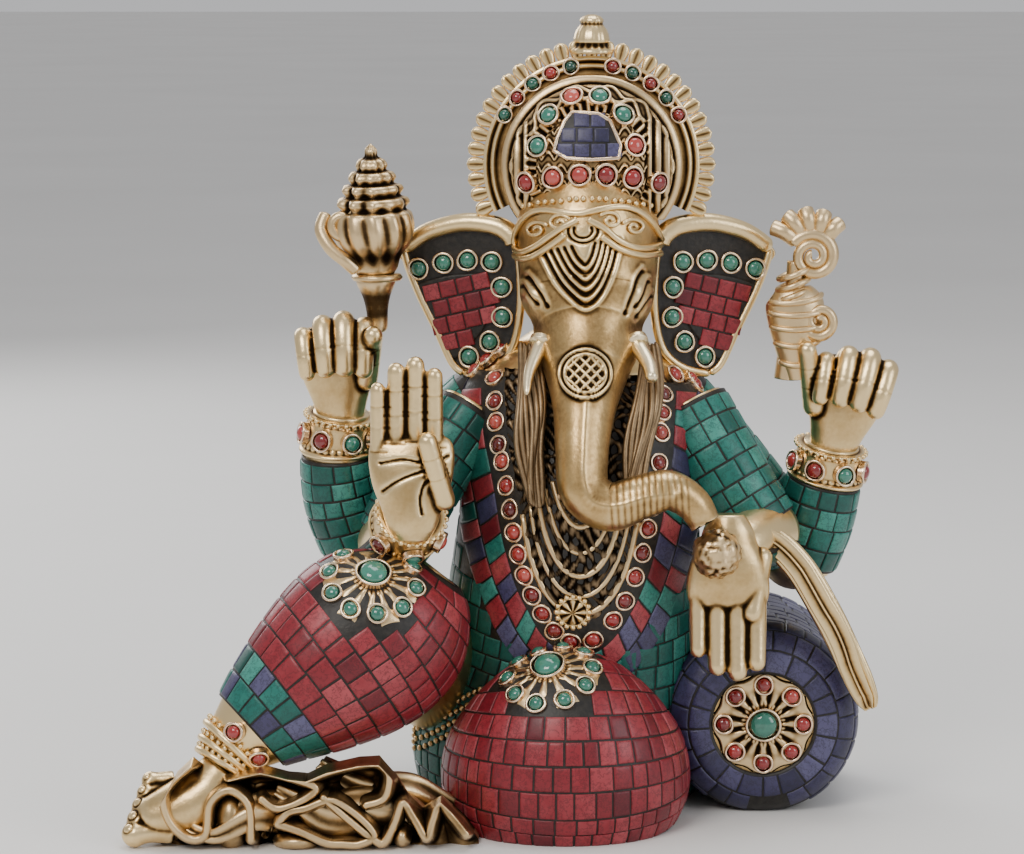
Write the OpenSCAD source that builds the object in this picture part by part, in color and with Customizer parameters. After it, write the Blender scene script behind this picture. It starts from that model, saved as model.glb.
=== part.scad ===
// Seated four-armed elephant-headed idol: brass castings brazed together, with stone chips and
// round cabochons set over them. All sizes are in millimetres. -Y is the front, +Z is up.

/* [Overall] */
// Width of the figure across the two rear hands and the toes
idol_w = 212; // [170:1:260]
// Depth of the figure from the toes to the back of the seat
idol_d = 104; // [86:1:125]
// Height of the figure to the tip of the finial
idol_h = 222; // [180:1:270]

/* [Castings] */
// Wall of the hollow body casting
wall = 4; // [2.5:0.5:6]
// Thickness of the plate that closes the body casting's underside
plate_t = 3; // [2:0.5:5]
// Gap between the closing plate and the casting around it
plate_clear = 0.15; // [0.05:0.05:0.5]
// Thickness of the ear plates
ear_t = 3; // [2:0.5:5]
// Thickness of the crown's halo plate
halo_t = 3; // [2:0.5:5]
// Width of the plain band of the halo, between the dome and the petals
halo_band = 4.5; // [4:0.5:7]
// Height of the halo's petals
petal_h = 4.6; // [3:0.2:6]
// Number of petals round the halo
petal_count = 31; // [21:2:41]
// Thickness of the cuffs over the wrists
cuff_t = 1.4; // [1:0.2:2.5]

/* [Bolster] */
// Radius of the round bolster
bolster_r = 26; // [20:0.5:32]
// Length of the bolster
bolster_len = 62; // [45:1:80]
// Radius of the rounding at the bolster's ends
bolster_round = 9; // [4:0.5:14]

/* [Stones] */
// Side of a stone chip
chip = 6; // [5:0.2:8]
// Thickness of a stone chip
chip_t = 1.2; // [0.8:0.1:2]
// Width of the lac-filled joint between chips
joint = 0.5; // [0.3:0.1:1]
// Bed of lac under the chips
bed = 0.3; // [0.2:0.1:0.8]
// Radius of a round cabochon
stone_r = 2.2; // [1.6:0.05:2.6]
// Wall of the wire bezel round a cabochon
bezel_wire = 0.7; // [0.4:0.05:1]
// Height of the wire bezel
bezel_h = 1.6; // [1:0.1:2.5]
// Height of a cabochon over the surface it sits on
stone_h = 2.4; // [1.8:0.1:3.2]
// Clearance round a cabochon in its bezel
stone_clear = 0.05; // [0.02:0.01:0.2]
// Radius of the larger cabochons along the crown's brow
crown_stone_r = 2.5; // [1.8:0.1:2.8]
// Radius of a rosette over its ring of stones
rosette_r = 14; // [12.4:0.2:15.4]

/* [Finial] */
// Radius of the peg that holds the finial in the crown
peg_r = 1.5; // [1:0.1:2]
// Depth of the peg's hole
peg_depth = 4; // [3:0.5:6]
// Clearance of the peg in its hole
peg_clear = 0.05; // [0.02:0.01:0.2]

/* [Hidden] */
$fn = 40;

// The figure is drawn at these nominal sizes and stretched to the overall ones.
NOMINAL = [212, 104, 222];
CENTRE = [0.6, -1.9, 0];
SCALE = [idol_w / NOMINAL.x, idol_d / NOMINAL.y, idol_h / NOMINAL.z];
FRONT = [0, -1, 0];
UP = [0, 0, 1];
MIDLINE = 21;       // x of the head's and the crown's middle plane
NECKLINE = [18.5, 123, 23, 65];  // the collar's ellipse: centre x, centre z, half width, half height
CROWN = [22, 6, 180.5];            // centre of the crown's dome
DOME_R = 25.5;
BOLSTER = [70, -12, 0];          // front face of the bolster, below its axis

function place(p) = [for (k = [0:2]) (p[k] - CENTRE[k]) * SCALE[k]];
function unit(v) = v / norm(v);

// ---- Limbs: stations [x, y, z, half width, half depth] joined by a smooth skin ----
function cubic(a, b, c, d, t) =
  0.5 * (2 * b + (c - a) * t + (2 * a - 5 * b + 4 * c - d) * t * t + (3 * b - a - 3 * c + d) * t * t * t);
function spine(list, s) =
  let (n = len(list) - 1, i = max(0, min(floor(s), n - 1)), t = s - i)
  cubic(list[max(i - 1, 0)], list[i], list[i + 1], list[min(i + 2, n)], t);
function ring_point(list, ref, s, a) =
  let (q = spine(list, s), d = spine(list, s + 0.02) - spine(list, s - 0.02),
       t = unit([d.x, d.y, d.z]), side = unit(cross(t, ref)), fore = cross(side, t))
  place([q.x, q.y, q.z] + max(q[3], 0.3) * cos(a) * side + max(q[4], 0.3) * sin(a) * fore);
function normal(list, ref, s, a) =
  unit(cross(ring_point(list, ref, s + 0.03, a) - ring_point(list, ref, s - 0.03, a),
             ring_point(list, ref, s, a + 3) - ring_point(list, ref, s, a - 3)));
function skin(list, ref, s, a, off = 0) =
  ring_point(list, ref, s, a) + (off == 0 ? [0, 0, 0] : off * normal(list, ref, s, a));

// A limb from station `from` to station `to`, as hulls between neighbouring rings.
module limb(list, ref = FRONT, from = 0, to = -1, steps = 9, sides = 18, off = 0) {
  last = to < 0 ? len(list) - 1 : to;
  for (i = [0:steps - 1])
    hull()
      ring_pair(list, ref, from + (last - from) * i / steps, from + (last - from) * (i + 1) / steps, sides,
        off);
}
module ring_pair(list, ref, s0, s1, sides, off)
  polyhedron(
    points = [for (s = [s0, s1], k = [0:sides - 1]) skin(list, ref, s, 360 * k / sides, off)],
    faces = concat(
      [[for (k = [0:sides - 1]) k], [for (k = [sides - 1:-1:0]) sides + k]],
      [for (k = [0:sides - 1]) let (m = (k + 1) % sides) [m, k, sides + k]],
      [for (k = [0:sides - 1]) let (m = (k + 1) % sides) [m, sides + k, sides + m]]));

// ---- Stone chips: each cell [s0, s1, a0, a1] of a skin carries one flat stone ----
module chips(list, ref, cells)
  for (c = cells) {
    s = (c[0] + c[1]) / 2;
    a = (c[2] + c[3]) / 2;
    p = skin(list, ref, s, a, bed);
    n = normal(list, ref, s, a);
    u = unit(cross(abs(n.z) > 0.9 ? [1, 0, 0] : UP, n));
    corners = [for (q = [[c[0], c[2]], [c[1], c[2]], [c[1], c[3]], [c[0], c[3]]])
      let (d = ring_point(list, ref, q.x, q.y) - p) [d * u, d * cross(n, u)] * (1 - joint / chip)];
    aim(p, n) linear_extrude(chip_t) polygon(corners);
  }
// How far p lies outside a limb, taken as a string of balls, and outside the torso and the bolster.
function off_limb(p, list) = min([for (s = [0:0.25:len(list) - 1])
  let (q = spine(list, s)) norm(p - place([q.x, q.y, q.z])) - max(q[3], q[4]) * max(SCALE)]);
function off_torso(p) =
  let (q = spine(TORSO, lookup(p.z / SCALE.z, TORSO_Z)), c = place([q.x, q.y, q.z]))
  (norm([(p.x - c.x) / q[3] / SCALE.x, (p.y - c.y) / q[4] / SCALE.y]) - 1) * min(q[3], q[4]);
function off_bolster(p) =
  let (c = place(BOLSTER)) max(norm([p.x - c.x, p.z - bolster_r]) - bolster_r, c.y - p.y);
// The cells whose stones keep clear of other limbs and, if wanted, of the torso and the bolster.
function free(list, ref, cells, others, torso = true, gap = 0.8) = [for (c = cells)
  if (min([for (s = [c[0], c[1]], a = [c[2], c[3]])
    let (p = skin(list, ref, s, a, bed + chip_t / 2))
    min(concat([for (o = others) off_limb(p, o)], torso ? [off_torso(p)] : [], [off_bolster(p)]))]) > gap) c];
// Cells in courses like brickwork, between two stations and two angles.
function courses(list, ref, s0, s1, a0, a1) =
  let (mid = (a0 + a1) / 2,
       n = max(1, round(norm(ring_point(list, ref, s1, mid) - ring_point(list, ref, s0, mid)) / chip)))
  [for (i = [0:n - 1])
    let (lo = s0 + (s1 - s0) * i / n, hi = s0 + (s1 - s0) * (i + 1) / n, s = (lo + hi) / 2,
         arc = norm(ring_point(list, ref, s, mid + 5) - ring_point(list, ref, s, mid - 5)) * (a1 - a0) / 10,
         m = max(2, round(arc / chip)), w = (a1 - a0) / m)
    for (j = [0:m - 1])
      [lo, hi, a0 + w * max(0, j + (i % 2 == 0 ? 0 : -0.3)),
        a0 + w * (j == m - 1 ? m : j + (i % 2 == 0 ? 1 : 0.7))]];

// ---- Round stones in wire bezels ----
module on_skin(list, ref, s, a, off = 0) {
  p = skin(list, ref, s, a, off);
  n = normal(list, ref, s, a);
  aim(p, n) children();
}
// Moves children so that their +Z points along n at p.
module aim(p, n) {
  u = unit(cross(abs(n.z) > 0.9 ? [1, 0, 0] : UP, n));
  v = cross(n, u);
  multmatrix([[u.x, v.x, n.x, p.x], [u.y, v.y, n.y, p.y], [u.z, v.z, n.z, p.z]]) children();
}
module bezel(r = stone_r, h = bezel_h)
  difference() {
    cylinder(r = r + bezel_wire, h = h);
    translate([0, 0, -1]) cylinder(r = r, h = h + 2);
  }
module cabochon(r = stone_r, h = stone_h) {
  e = r - stone_clear;
  body = h * 0.55;
  rotate_extrude()
    polygon(concat([[0, 0], [e, 0]], [for (t = [0:15:75]) [e * cos(t), body + (h - body) * sin(t)]],
      [[0, h]]));
}
// A round stone or, with setting = true, the bezel that holds it.
module gem(setting, r = stone_r) {
  if (setting) bezel(r);
  else cabochon(r);
}

// ---- Stations of the castings ----
TORSO = [[14, 18, -14, 35, 27], [14, 18, 0, 38, 29], [14, 17, 12, 41, 31], [15, 15, 28, 40, 31],
  [17, 11, 46, 36, 30],
         [18, 7, 64, 34, 31], [19, 5, 82, 32.5, 30], [20, 7, 100, 33, 27], [20, 9, 113, 34, 22],
           [20.5, 10, 123, 28, 17.5],
         [21, 10, 134, 14, 12]];
HEAD = [[21, 8, 183, 9, 10], [21, 5, 176, 16, 17], [21, 3, 166, 19.5, 20.5], [21, 1, 155, 19.5, 21],
        [21, -2, 144, 18.2, 20], [20.8, -8, 134, 15.5, 16], [20.3, -17, 125, 11.5, 11.5],
        [19.6, -25, 116, 8.6, 8.6], [18.9, -31, 105, 7.2, 7.2], [19.6, -34, 95.5, 6.9, 6.9],
        [26, -35.5, 91, 6.6, 6.6], [34, -36, 93.5, 6.1, 6.1], [42, -35.5, 95.5, 5.5, 5.5],
        [48.5, -35, 92, 4.9, 4.9], [52, -34.5, 86.5, 4.3, 4.3]];
RIGHT_SHIN = [[-80, -41, 19, 5, 5], [-76, -39, 25, 8.5, 8.5], [-66, -36, 34, 14.5, 13.5],
  [-54, -33, 43, 20.5, 18],
              [-42, -30, 51.5, 24, 20], [-32, -27, 58.5, 22.5, 19], [-24, -24, 66, 15, 13],
                [-20, -23, 71, 5, 5]];
RIGHT_THIGH = [[-32, -34, 58, 9, 9], [-32, -24, 55, 18, 18], [-28, -8, 47, 17, 19], [-22, 8, 38, 15, 18],
  [-12, 20, 30, 12, 15]];
LEFT_KNEE = [[14.8, -18, -1, 28, 26], [14.8, -19, 7, 32, 28], [14.8, -20, 15, 33, 28.6],
  [14.8, -20, 24, 31, 27],
             [14.8, -19, 32, 26, 24], [14.8, -17, 38.6, 19, 19], [14.8, -15, 43, 11, 12],
               [14.8, -14, 44.8, 4, 5]];
REAR_RIGHT_UPPER = [[-4, 14, 114, 12, 11], [-22, 15, 99, 10.5, 10.5], [-36, 14, 83, 10, 10],
  [-43, 13, 75, 9.6, 9.6]];
REAR_RIGHT_FORE = [[-43, 13, 71, 9.4, 9.4], [-47, 12, 84, 10.2, 10.2], [-49, 10, 98, 9.3, 9.3],
  [-48, 8, 111, 7.8, 7.8]];
REAR_LEFT_UPPER = [[42, 14, 114, 12, 11], [58, 16, 98, 10.5, 10.5], [72, 16, 81, 10, 10],
  [80, 15, 71, 9.8, 9.8]];
REAR_LEFT_FORE = [[81, 14, 67, 9.6, 9.6], [85, 12, 79, 10.2, 10.2], [88, 10, 91, 9.2, 9.2],
  [90, 8, 102, 7.8, 7.8]];
FRONT_RIGHT_UPPER = [[-11, 4, 112, 9.5, 10], [-21, -2, 98, 9.5, 9.5], [-29, -6, 85, 9.5, 9],
  [-33, -7, 77, 9, 8.5]];
FRONT_RIGHT_FORE = [[-34, -7, 76, 9, 9], [-32, -16, 79, 9, 9], [-29, -26, 84, 8.4, 8.4],
  [-27, -33, 89, 7.6, 7.6]];
FRONT_LEFT_UPPER = [[49, 4, 113, 10.5, 10], [56, 0, 101, 10.5, 10], [64, -3, 88, 10, 9.5],
  [70, -5, 79, 9.5, 9]];
FRONT_LEFT_FORE = [[71, -5, 79, 9.4, 9.4], [68, -11, 79, 8.8, 8.6], [64, -17, 78, 8, 7.4],
  [60, -21, 76, 7.4, 6.6]];
SCARF = [[62, -17, 78, 3, 2.5], [70, -15, 79, 6, 3], [79, -14, 71, 8, 3.2], [87, -14, 58, 7.4, 3.2],
         [93, -14, 46, 6.2, 3], [98, -15, 35, 4, 2.6], [99.5, -15.5, 31, 1.5, 1.5]];

// Cuts away what would reach below the ground.
module grounded()
  difference() {
    union() children();
    translate([-2 * idol_w, -2 * idol_w, -idol_h]) cube([4 * idol_w, 4 * idol_w, idol_h]);
  }

TORSO_Z = [for (i = [0:len(TORSO) - 1]) [TORSO[i].z, i]];
ARMS = [REAR_RIGHT_UPPER, REAR_RIGHT_FORE, REAR_LEFT_UPPER, REAR_LEFT_FORE,
        FRONT_RIGHT_UPPER, FRONT_RIGHT_FORE, FRONT_LEFT_UPPER, FRONT_LEFT_FORE];

// ---- Body ----
TORSO_FROM = 0.4;  // the stations from here on reach above the ground
module base_plate() color("#b08d4f")
  intersection() {
    limb(TORSO, from = TORSO_FROM, to = 9.2, steps = 9, sides = 16, off = -wall - plate_clear);
    translate([-idol_w, -idol_w, 0]) cube([2 * idol_w, 2 * idol_w, plate_t]);
  }
module torso_solid() grounded() limb(TORSO, from = TORSO_FROM, steps = 13, sides = 20);
module torso_casting() color("#c9a866")
  difference() {
    torso_solid();
    limb(TORSO, from = TORSO_FROM, to = 9.2, steps = 9, sides = 16, off = -wall);
  }

// True where a point of the torso's skin is in front and within the neckline grown by w.
function on_bib(list, s, a, w) =
  let (q = spine(list, s), x = q.x + q[3] * cos(a), e = NECKLINE)
  sin(a) > 0 && (q.z > e[1] ? abs(x - e[0]) < e[2] + w
                            : pow((x - e[0]) / (e[2] + w), 2) + pow((q.z - e[1]) / (e[3] + w), 2) < 1);
module torso_chips() color("#1f8a75") {
  bib = BORDER[1] + chip;
  all_cells = courses(TORSO, FRONT, 2.6, 8.2, -35, 215);
  open_cells = [for (c = all_cells) if (!on_bib(TORSO, (c[0] + c[1]) / 2, (c[2] + c[3]) / 2, bib)) c];
  chips(TORSO, FRONT, free(TORSO, FRONT, open_cells, concat(ARMS, [RIGHT_SHIN, RIGHT_THIGH, LEFT_KNEE]),
    false));
}

// A point (x, z) of the torso's front as [station, angle].
function on_front(x, z) =
  let (s = lookup(z, TORSO_Z), q = spine(TORSO, s)) [s, acos(max(-0.98, min(0.98, (x - q.x) / q[3])))];
// The neckline's ellipse grown by w, at angle t from 180 (left) over 270 (lowest) to 360 (right).
function neckline(w, t) = [NECKLINE[0] + (NECKLINE[2] + w) * cos(t),
  NECKLINE[1] + (NECKLINE[3] + w) * sin(t)];
function stretch(w, t) = norm([(NECKLINE[2] + w) * SCALE.x * sin(t),
  (NECKLINE[3] + w) * SCALE.z * cos(t)]) * PI / 180;
// Angles that walk round the neckline in steps of `pitch` millimetres.
function walk(w, pitch, t, end) = t > end ? [] : concat([t], walk(w, pitch, t + pitch / stretch(w, t), end));

module on_neckline(w, t, off = 0) {
  q = neckline(w, t);
  at = on_front(q.x, q.y);
  on_skin(TORSO, FRONT, at[0], at[1], off) children();
}
// Two rows of square chips border the collar, measured outward from its stones.
BORDER = [stone_r + bezel_wire + joint + chip / 2, stone_r + bezel_wire + joint + chip * 1.5];
module border_chips() color("#8c2f38") {
  size = chip - joint;
  for (row = [0:1], t = walk(BORDER[row], chip + 0.7, 190 - 3 * row, 350 + 3 * row)) {
    q = neckline(BORDER[row], t);
    at = on_front(q.x, q.y);
    p = skin(TORSO, FRONT, at[0], at[1], bed);
    if (min([for (o = concat(ARMS, [LEFT_KNEE, RIGHT_SHIN])) off_limb(p, o)]) > size * 0.55)
      on_neckline(BORDER[row], t, bed) translate([-size / 2, -size / 2, 0]) cube([size, size, chip_t]);
  }
}
COLLAR_PITCH = 2 * (stone_r + bezel_wire) + 0.5;
module collar(setting) {
  for (t = walk(0, COLLAR_PITCH * 1.04, 184, 356)) on_neckline(0, t, 0.1) gem(setting);
}
module collar_bezels() color("#d8bd7c") collar(true);
module collar_stones() color("#a83a32") collar(false);

// Plain wire bands hanging at the throat.
module throat_bands() color("#b7965a")
  for (k = [0:2])
    limb([for (t = [206:12:326])
           let (x = NECKLINE[0] + (9 + 2.6 * k) * cos(t), z = 92 + (12 + 4 * k) * sin(t), at = on_front(x, z),
                q = spine(TORSO, at[0]), r = q[4] + 0.75)
             [x, q.y - r * sin(at[1]), z, 0.8, 0.8]], steps = 10, sides = 6);
module pendant() color("#a98a56") {
  at = on_front(17, 65.5);
  on_skin(TORSO, FRONT, at[0], at[1]) {
    cylinder(r = 4.6, h = 1.2);
    translate([0, 0, 1.2]) cylinder(r1 = 3.8, r2 = 1.5, h = 1.2);
  }
}
// The hair that falls beside the trunk.
module hair_locks() color("#6d5636")
  difference() {
    for (side = [-1, 1])
      limb([[MIDLINE + side * 17, -9, 132, 3.4, 2], [MIDLINE + side * 15.4, -20.4, 117, 3.6, 2.4],
            [MIDLINE - 1.5 + side * 14.3, -24, 103, 3.4, 2.2],
              [MIDLINE - 2 + side * 12.8, -26.6, 90, 2.2, 1.4]],
           steps = 5, sides = 10);
    torso_solid();
    head_solid();
  }

// ---- Head ----
module head_solid() limb(HEAD, steps = 24, sides = 12);
module head_casting() color("#d9bf86")
  difference() {
    head_solid();
    torso_solid();
    figure() crown_body(0.02);
  }
module brow_band() color("#b7965a") difference() {
  for (side = [-1, 1], row = [0:1])
    limb([for (t = [0:4]) let (a = 90 + side * t * 14, s = 2.15 + row * 0.5 * pow(t / 4, 0.8),
      q = spine(HEAD, s))
           [q.x + (q[3] + 0.9) * cos(a), q.y - (q[4] + 0.9) * sin(a), q.z, 1.1, 1.1]], UP, steps = 4,
             sides = 6);
  head_solid();
}
// side: -1 is the idol's right tusk, seen on the left; 1 is the broken left tusk.
module tusk(side, len) {
  root = place([MIDLINE + side * 14, -17, 131]);
  tip = place([MIDLINE + side * 17, -25, 131 - len]);
  difference() {
    hull() {
      translate(root) sphere(2.4, $fn = 12);
      translate(tip) sphere(side < 0 ? 0.7 : 1.5, $fn = 8);
    }
    head_solid();
  }
}
module right_tusk() color("#efe0b4") tusk(-1, 11);
module left_tusk() color("#efe0b4") tusk(1, 7);

// ---- Crown ----
module figure() multmatrix([[SCALE.x, 0, 0, -CENTRE.x * SCALE.x], [0, SCALE.y, 0, -CENTRE.y * SCALE.y],
                            [0, 0, SCALE.z, 0]]) children();
// The dome bulges to the front and to the back of the halo's plane.
module crown_body(grow = 0)
  translate(CROWN) rotate([90, 0, 0])
    rotate_extrude($fn = 24)
      polygon(concat([for (t = [90:-15:0]) [(DOME_R + grow) * cos(t), (20 + grow) * sin(t)]],
                     [for (t = [15:15:90]) [(DOME_R + grow) * cos(t), -(17 + grow) * sin(t)]]));
function crown_top() = place([CROWN.x, CROWN.y, CROWN.z]) + [0, 0, DOME_R * SCALE.z + halo_band + 0.6];
module crown_dome() color("#c2a263")
  difference() {
    union() {
      figure() difference() {
        crown_body();
        translate([CROWN.x - 50, CROWN.y - 50, CROWN.z - DOME_R - 1]) cube([100, 100, 11]);
      }
      crown_boss(0);
    }
    translate(crown_top() - [0, 0, peg_depth]) cylinder(r = peg_r + peg_clear, h = peg_depth + 5);
    crown_halo();
  }
// The post on the dome that carries the finial passes through the halo's band.
module crown_boss(grow)
  translate(crown_top() - [0, 0, halo_band + 3]) cylinder(r = peg_r + 1.7 + grow, h = halo_band + 3);
// Outline of the halo: a band whose outer edge carries one pointed petal after another.
HALO_FROM = -26;
HALO_TO = 206;
function petal_edge(u) = petal_h * pow(sin(180 * u), 0.7);
// A point of the halo's plane at angle t, a distance e outside the dome.
function halo_at(t, e) = [(DOME_R * SCALE.x + e) * cos(t), (DOME_R * SCALE.z + e) * sin(t)];
function halo_outline() =
  let (n = petal_count, steps = 4, span = HALO_TO - HALO_FROM)
  concat([for (k = [0:n - 1], j = [0:steps - 1])
           halo_at(HALO_FROM + span * (k + j / steps) / n, halo_band + petal_edge(j / steps))],
         [halo_at(HALO_TO, halo_band)],
         [for (k = [24:-1:0]) halo_at(HALO_FROM + span * k / 24, -5)]);
module halo_solid(grow)
  translate(place(CROWN)) rotate([90, 0, 0])
    translate([0, 0, -halo_t / 2 - grow]) linear_extrude(halo_t + 2 * grow) polygon(halo_outline());
module crown_halo() color("#ab8b54")
  difference() {
    halo_solid(0);
    crown_boss(0.02);
    translate(crown_top() - [0, 0, 0.3]) cylinder(r = 6.2, h = 20);
  }
// The finial's outline: radius, and height as a share of its own height.
FINIAL = [[0, 0], [5.9, 0], [6, 0.09], [5.1, 0.16], [4.7, 0.26], [4.9, 0.37], [4.5, 0.55], [3.4, 0.7],
  [3.1, 0.77],
          [3.3, 0.84], [2.4, 0.94], [1, 0.985], [0, 1]];
module crown_finial() color("#dcc07a") {
  top = crown_top();
  high = idol_h - top.z;
  translate(top - [0, 0, peg_depth - 0.3]) cylinder(r = peg_r, h = peg_depth);
  translate(top)
    rotate_extrude()
      polygon([for (q = FINIAL) [q.x, q.y * high]]);
}
// A spot on the dome's front, dx and dz from its middle.
module on_dome(dx, dz) {
  r = DOME_R;
  q = norm([dx, dz]) / r;
  y = -20 * sqrt(max(0.02, 1 - q * q));
  p = place([CROWN.x + dx, CROWN.y + y, CROWN.z + dz]);
  n = unit([dx / r / r / SCALE.x, y / 400 / SCALE.y, dz / r / r / SCALE.z]);
  aim(p, n) children();
}
// The brow row, the arch over the plaque and the row on the halo's band.
module crown_gems(setting) {
  pitch = 2 * (crown_stone_r + bezel_wire) + 0.65;
  for (k = [-2.5:1:2.5]) on_dome(k * pitch, -1.4 - 0.4 * k * k) gem(setting, crown_stone_r);
  for (t = [8:33:173]) on_dome(-1.7 + 13 * cos(t), 4 + 15.5 * sin(t)) gem(setting, crown_stone_r);
  for (side = [-1, 1], t = [12:12:60])
    translate(place([CROWN.x, CROWN.y, CROWN.z]) - [0, halo_t / 2, 0]) rotate([90, 0, 0])
      translate(halo_at(90 + side * t, halo_band / 2)) gem(setting, stone_r * 0.8);
}
module crown_bezels() color("#d8bd7c") crown_gems(true);
module crown_stones() color("#a83a32") crown_gems(false);
PLAQUE = [[-10.4, 4.8], [-7, 2.9], [-0.6, 2.5], [6.8, 2.9], [7.4, 6.3], [4.6, 12.8], [1.4, 14.6], [-5.6, 15],
          [-7.6, 12.6], [-9.6, 8]];
module crown_plaque() color("#2d2f4c")
  difference() {
    figure() intersection() {
      crown_body(0.9);
      translate(CROWN) rotate([90, 0, 0])
        linear_extrude(40) polygon(PLAQUE);
    }
    figure() crown_body(0.1);
  }

// ---- Ears: outlines in the ear's own plane, x away from the head, y up ----
EAR = [[0, 1], [1.5, 5], [7, 7.4], [17, 7.2], [27, 3.6], [35, -2], [33, -6.4], [30, -12.8], [25.4, -21.6],
       [20.4, -31.8], [16.4, -36.6], [8.6, -35], [3, -30.2], [0, -22.5], [-0.4, -10]];
EAR_ROOT = [18.8, 5, 158];   // from the head's middle plane, mirrored for the other ear
EAR_SWEEP = 14;              // the ear leans back from the head
module ear_frame(side)
  translate(place([MIDLINE + side * EAR_ROOT.x, EAR_ROOT.y, EAR_ROOT.z]))
    mirror([side < 0 ? 1 : 0, 0, 0]) rotate([90, 0, EAR_SWEEP]) children();
function ear_point(p) = [p.x * SCALE.x, p.y * SCALE.z];
module ear(side) difference() {
  ear_frame(side) union() {
    translate([0, 0, -ear_t]) linear_extrude(ear_t) polygon([for (p = EAR) ear_point(p)]);
    ear_rim([[2, 2], [6, 5.6], [16, 6.6], [27, 3.6], [34.6, -1.2]], 3, 2.1);
    ear_rim([[1, 2], [-0.4, -8], [-0.6, -20], [2, -30], [8, -35.2], [16.6, -37.4]], 1.6, 0.9);
  }
  head_solid();
  torso_solid();
  figure() crown_body(0.05);
  halo_solid(0.05);
  limb(side < 0 ? REAR_RIGHT_UPPER : REAR_LEFT_UPPER, steps = 5, sides = 14, off = 0.05);
}
module ear_rim(path, r0, r1)
  for (i = [0:len(path) - 2])
    hull()
      for (k = [i, i + 1]) {
        p = ear_point(path[k]);
        translate([p.x, p.y, 0.5]) sphere(r0 + (r1 - r0) * k / (len(path) - 1), $fn = 8);
      }
module right_ear() color("#cfb177") ear(-1);
module left_ear() color("#cfb177") ear(1);
// Chips fill the ear inside its row of round stones.
EAR_FIELD = [[11, -8.8], [20, -9.6], [27.4, -11.8], [28.4, -13.6], [19.8, -30], [15.8, -27.6],
  [11.6, -23.6], [9, -18], [9, -13]];
module ear_chips(side) ear_frame(side)
  for (i = [0:4])
    for (j = [0:4])
      translate([0, 0, bed]) linear_extrude(chip_t)
        intersection() {
          polygon([for (p = EAR_FIELD) ear_point(p)]);
          rotate(-14) translate([10 + i * chip + (j % 2) * 1.6, -28 + j * chip]) square(chip - joint);
        }
module right_ear_chips() color("#a3303a") ear_chips(-1);
module left_ear_chips() color("#a3303a") ear_chips(1);
EAR_ROW = [[29, -7], [21.8, -5.2], [14.8, -4.3], [7.8, -4.6], [5, -11.6], [4.8, -20], [8.4, -27],
  [14.4, -31.4]];
module ear_gems(setting)
  for (side = [-1, 1])
    for (p = EAR_ROW) {
      q = ear_point(p);
      ear_frame(side) translate([q.x, q.y, 0]) gem(setting, stone_r * 1.1);
    }
module ear_bezels() color("#d8bd7c") ear_gems(true);
module ear_stones() color("#1d6a52") ear_gems(false);

// ---- Arms ----
module arm_solid(upper, fore, fore_ref = FRONT) {
  elbow = (spine(upper, 3) + spine(fore, 0)) / 2;
  limb(upper, steps = 5, sides = 14);
  limb(fore, fore_ref, steps = 6, sides = 14);
  translate(place([elbow.x, elbow.y, elbow.z])) scale(SCALE) sphere(elbow[3] * 1.02, $fn = 12);
}
module arm(upper, fore, fore_ref = FRONT) color("#c9a866")
  difference() {
    arm_solid(upper, fore, fore_ref);
    torso_solid();
  }
module rear_right_arm() arm(REAR_RIGHT_UPPER, REAR_RIGHT_FORE);
module rear_left_arm() arm(REAR_LEFT_UPPER, REAR_LEFT_FORE);
module front_right_arm() color("#c9a866") difference() {
  arm_solid(FRONT_RIGHT_UPPER, FRONT_RIGHT_FORE, UP);
  torso_solid();
  arm_solid(REAR_RIGHT_UPPER, REAR_RIGHT_FORE);
  right_leg_solid();
}
module front_left_arm() color("#c9a866") difference() {
  arm_solid(FRONT_LEFT_UPPER, FRONT_LEFT_FORE, UP);
  torso_solid();
  arm_solid(REAR_LEFT_UPPER, REAR_LEFT_FORE);
}
module all_arms() {
  arm_solid(REAR_RIGHT_UPPER, REAR_RIGHT_FORE);
  arm_solid(REAR_LEFT_UPPER, REAR_LEFT_FORE);
  arm_solid(FRONT_RIGHT_UPPER, FRONT_RIGHT_FORE, UP);
  arm_solid(FRONT_LEFT_UPPER, FRONT_LEFT_FORE, UP);
}
module sleeve_chips(upper, u0, u1, ua, fore, f0, f1, fore_ref, fa, others) color("#1f8a75") {
  chips(upper, FRONT, free(upper, FRONT, courses(upper, FRONT, u0, u1, ua[0], ua[1]),
    concat(others, [fore])));
  chips(fore, fore_ref, free(fore, fore_ref, courses(fore, fore_ref, f0, f1, fa[0], fa[1]),
    concat(others, [upper])));
}
FRONT_RIGHT = [FRONT_RIGHT_UPPER, FRONT_RIGHT_FORE];
FRONT_LEFT = [FRONT_LEFT_UPPER, FRONT_LEFT_FORE];
module rear_right_chips()
  sleeve_chips(REAR_RIGHT_UPPER, 1, 2.6, [150, 220], REAR_RIGHT_FORE, 0.6, 2, FRONT, [-40, 220], FRONT_RIGHT);
module rear_left_chips()
  sleeve_chips(REAR_LEFT_UPPER, 1, 2.6, [-40, 40], REAR_LEFT_FORE, 0.6, 2, FRONT, [-40, 220], FRONT_LEFT);
module front_right_chips()
  sleeve_chips(FRONT_RIGHT_UPPER, 0.3, 2.6, [30, 150], FRONT_RIGHT_FORE, 0.6, 1.5, UP, [190, 340],
    [RIGHT_SHIN, REAR_RIGHT_UPPER]);
module front_left_chips()
  sleeve_chips(FRONT_LEFT_UPPER, 0.1, 2.6, [0, 165], FRONT_LEFT_FORE, 0.6, 1.5, UP, [200, 340],
    [REAR_LEFT_UPPER, SCARF]);

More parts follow.
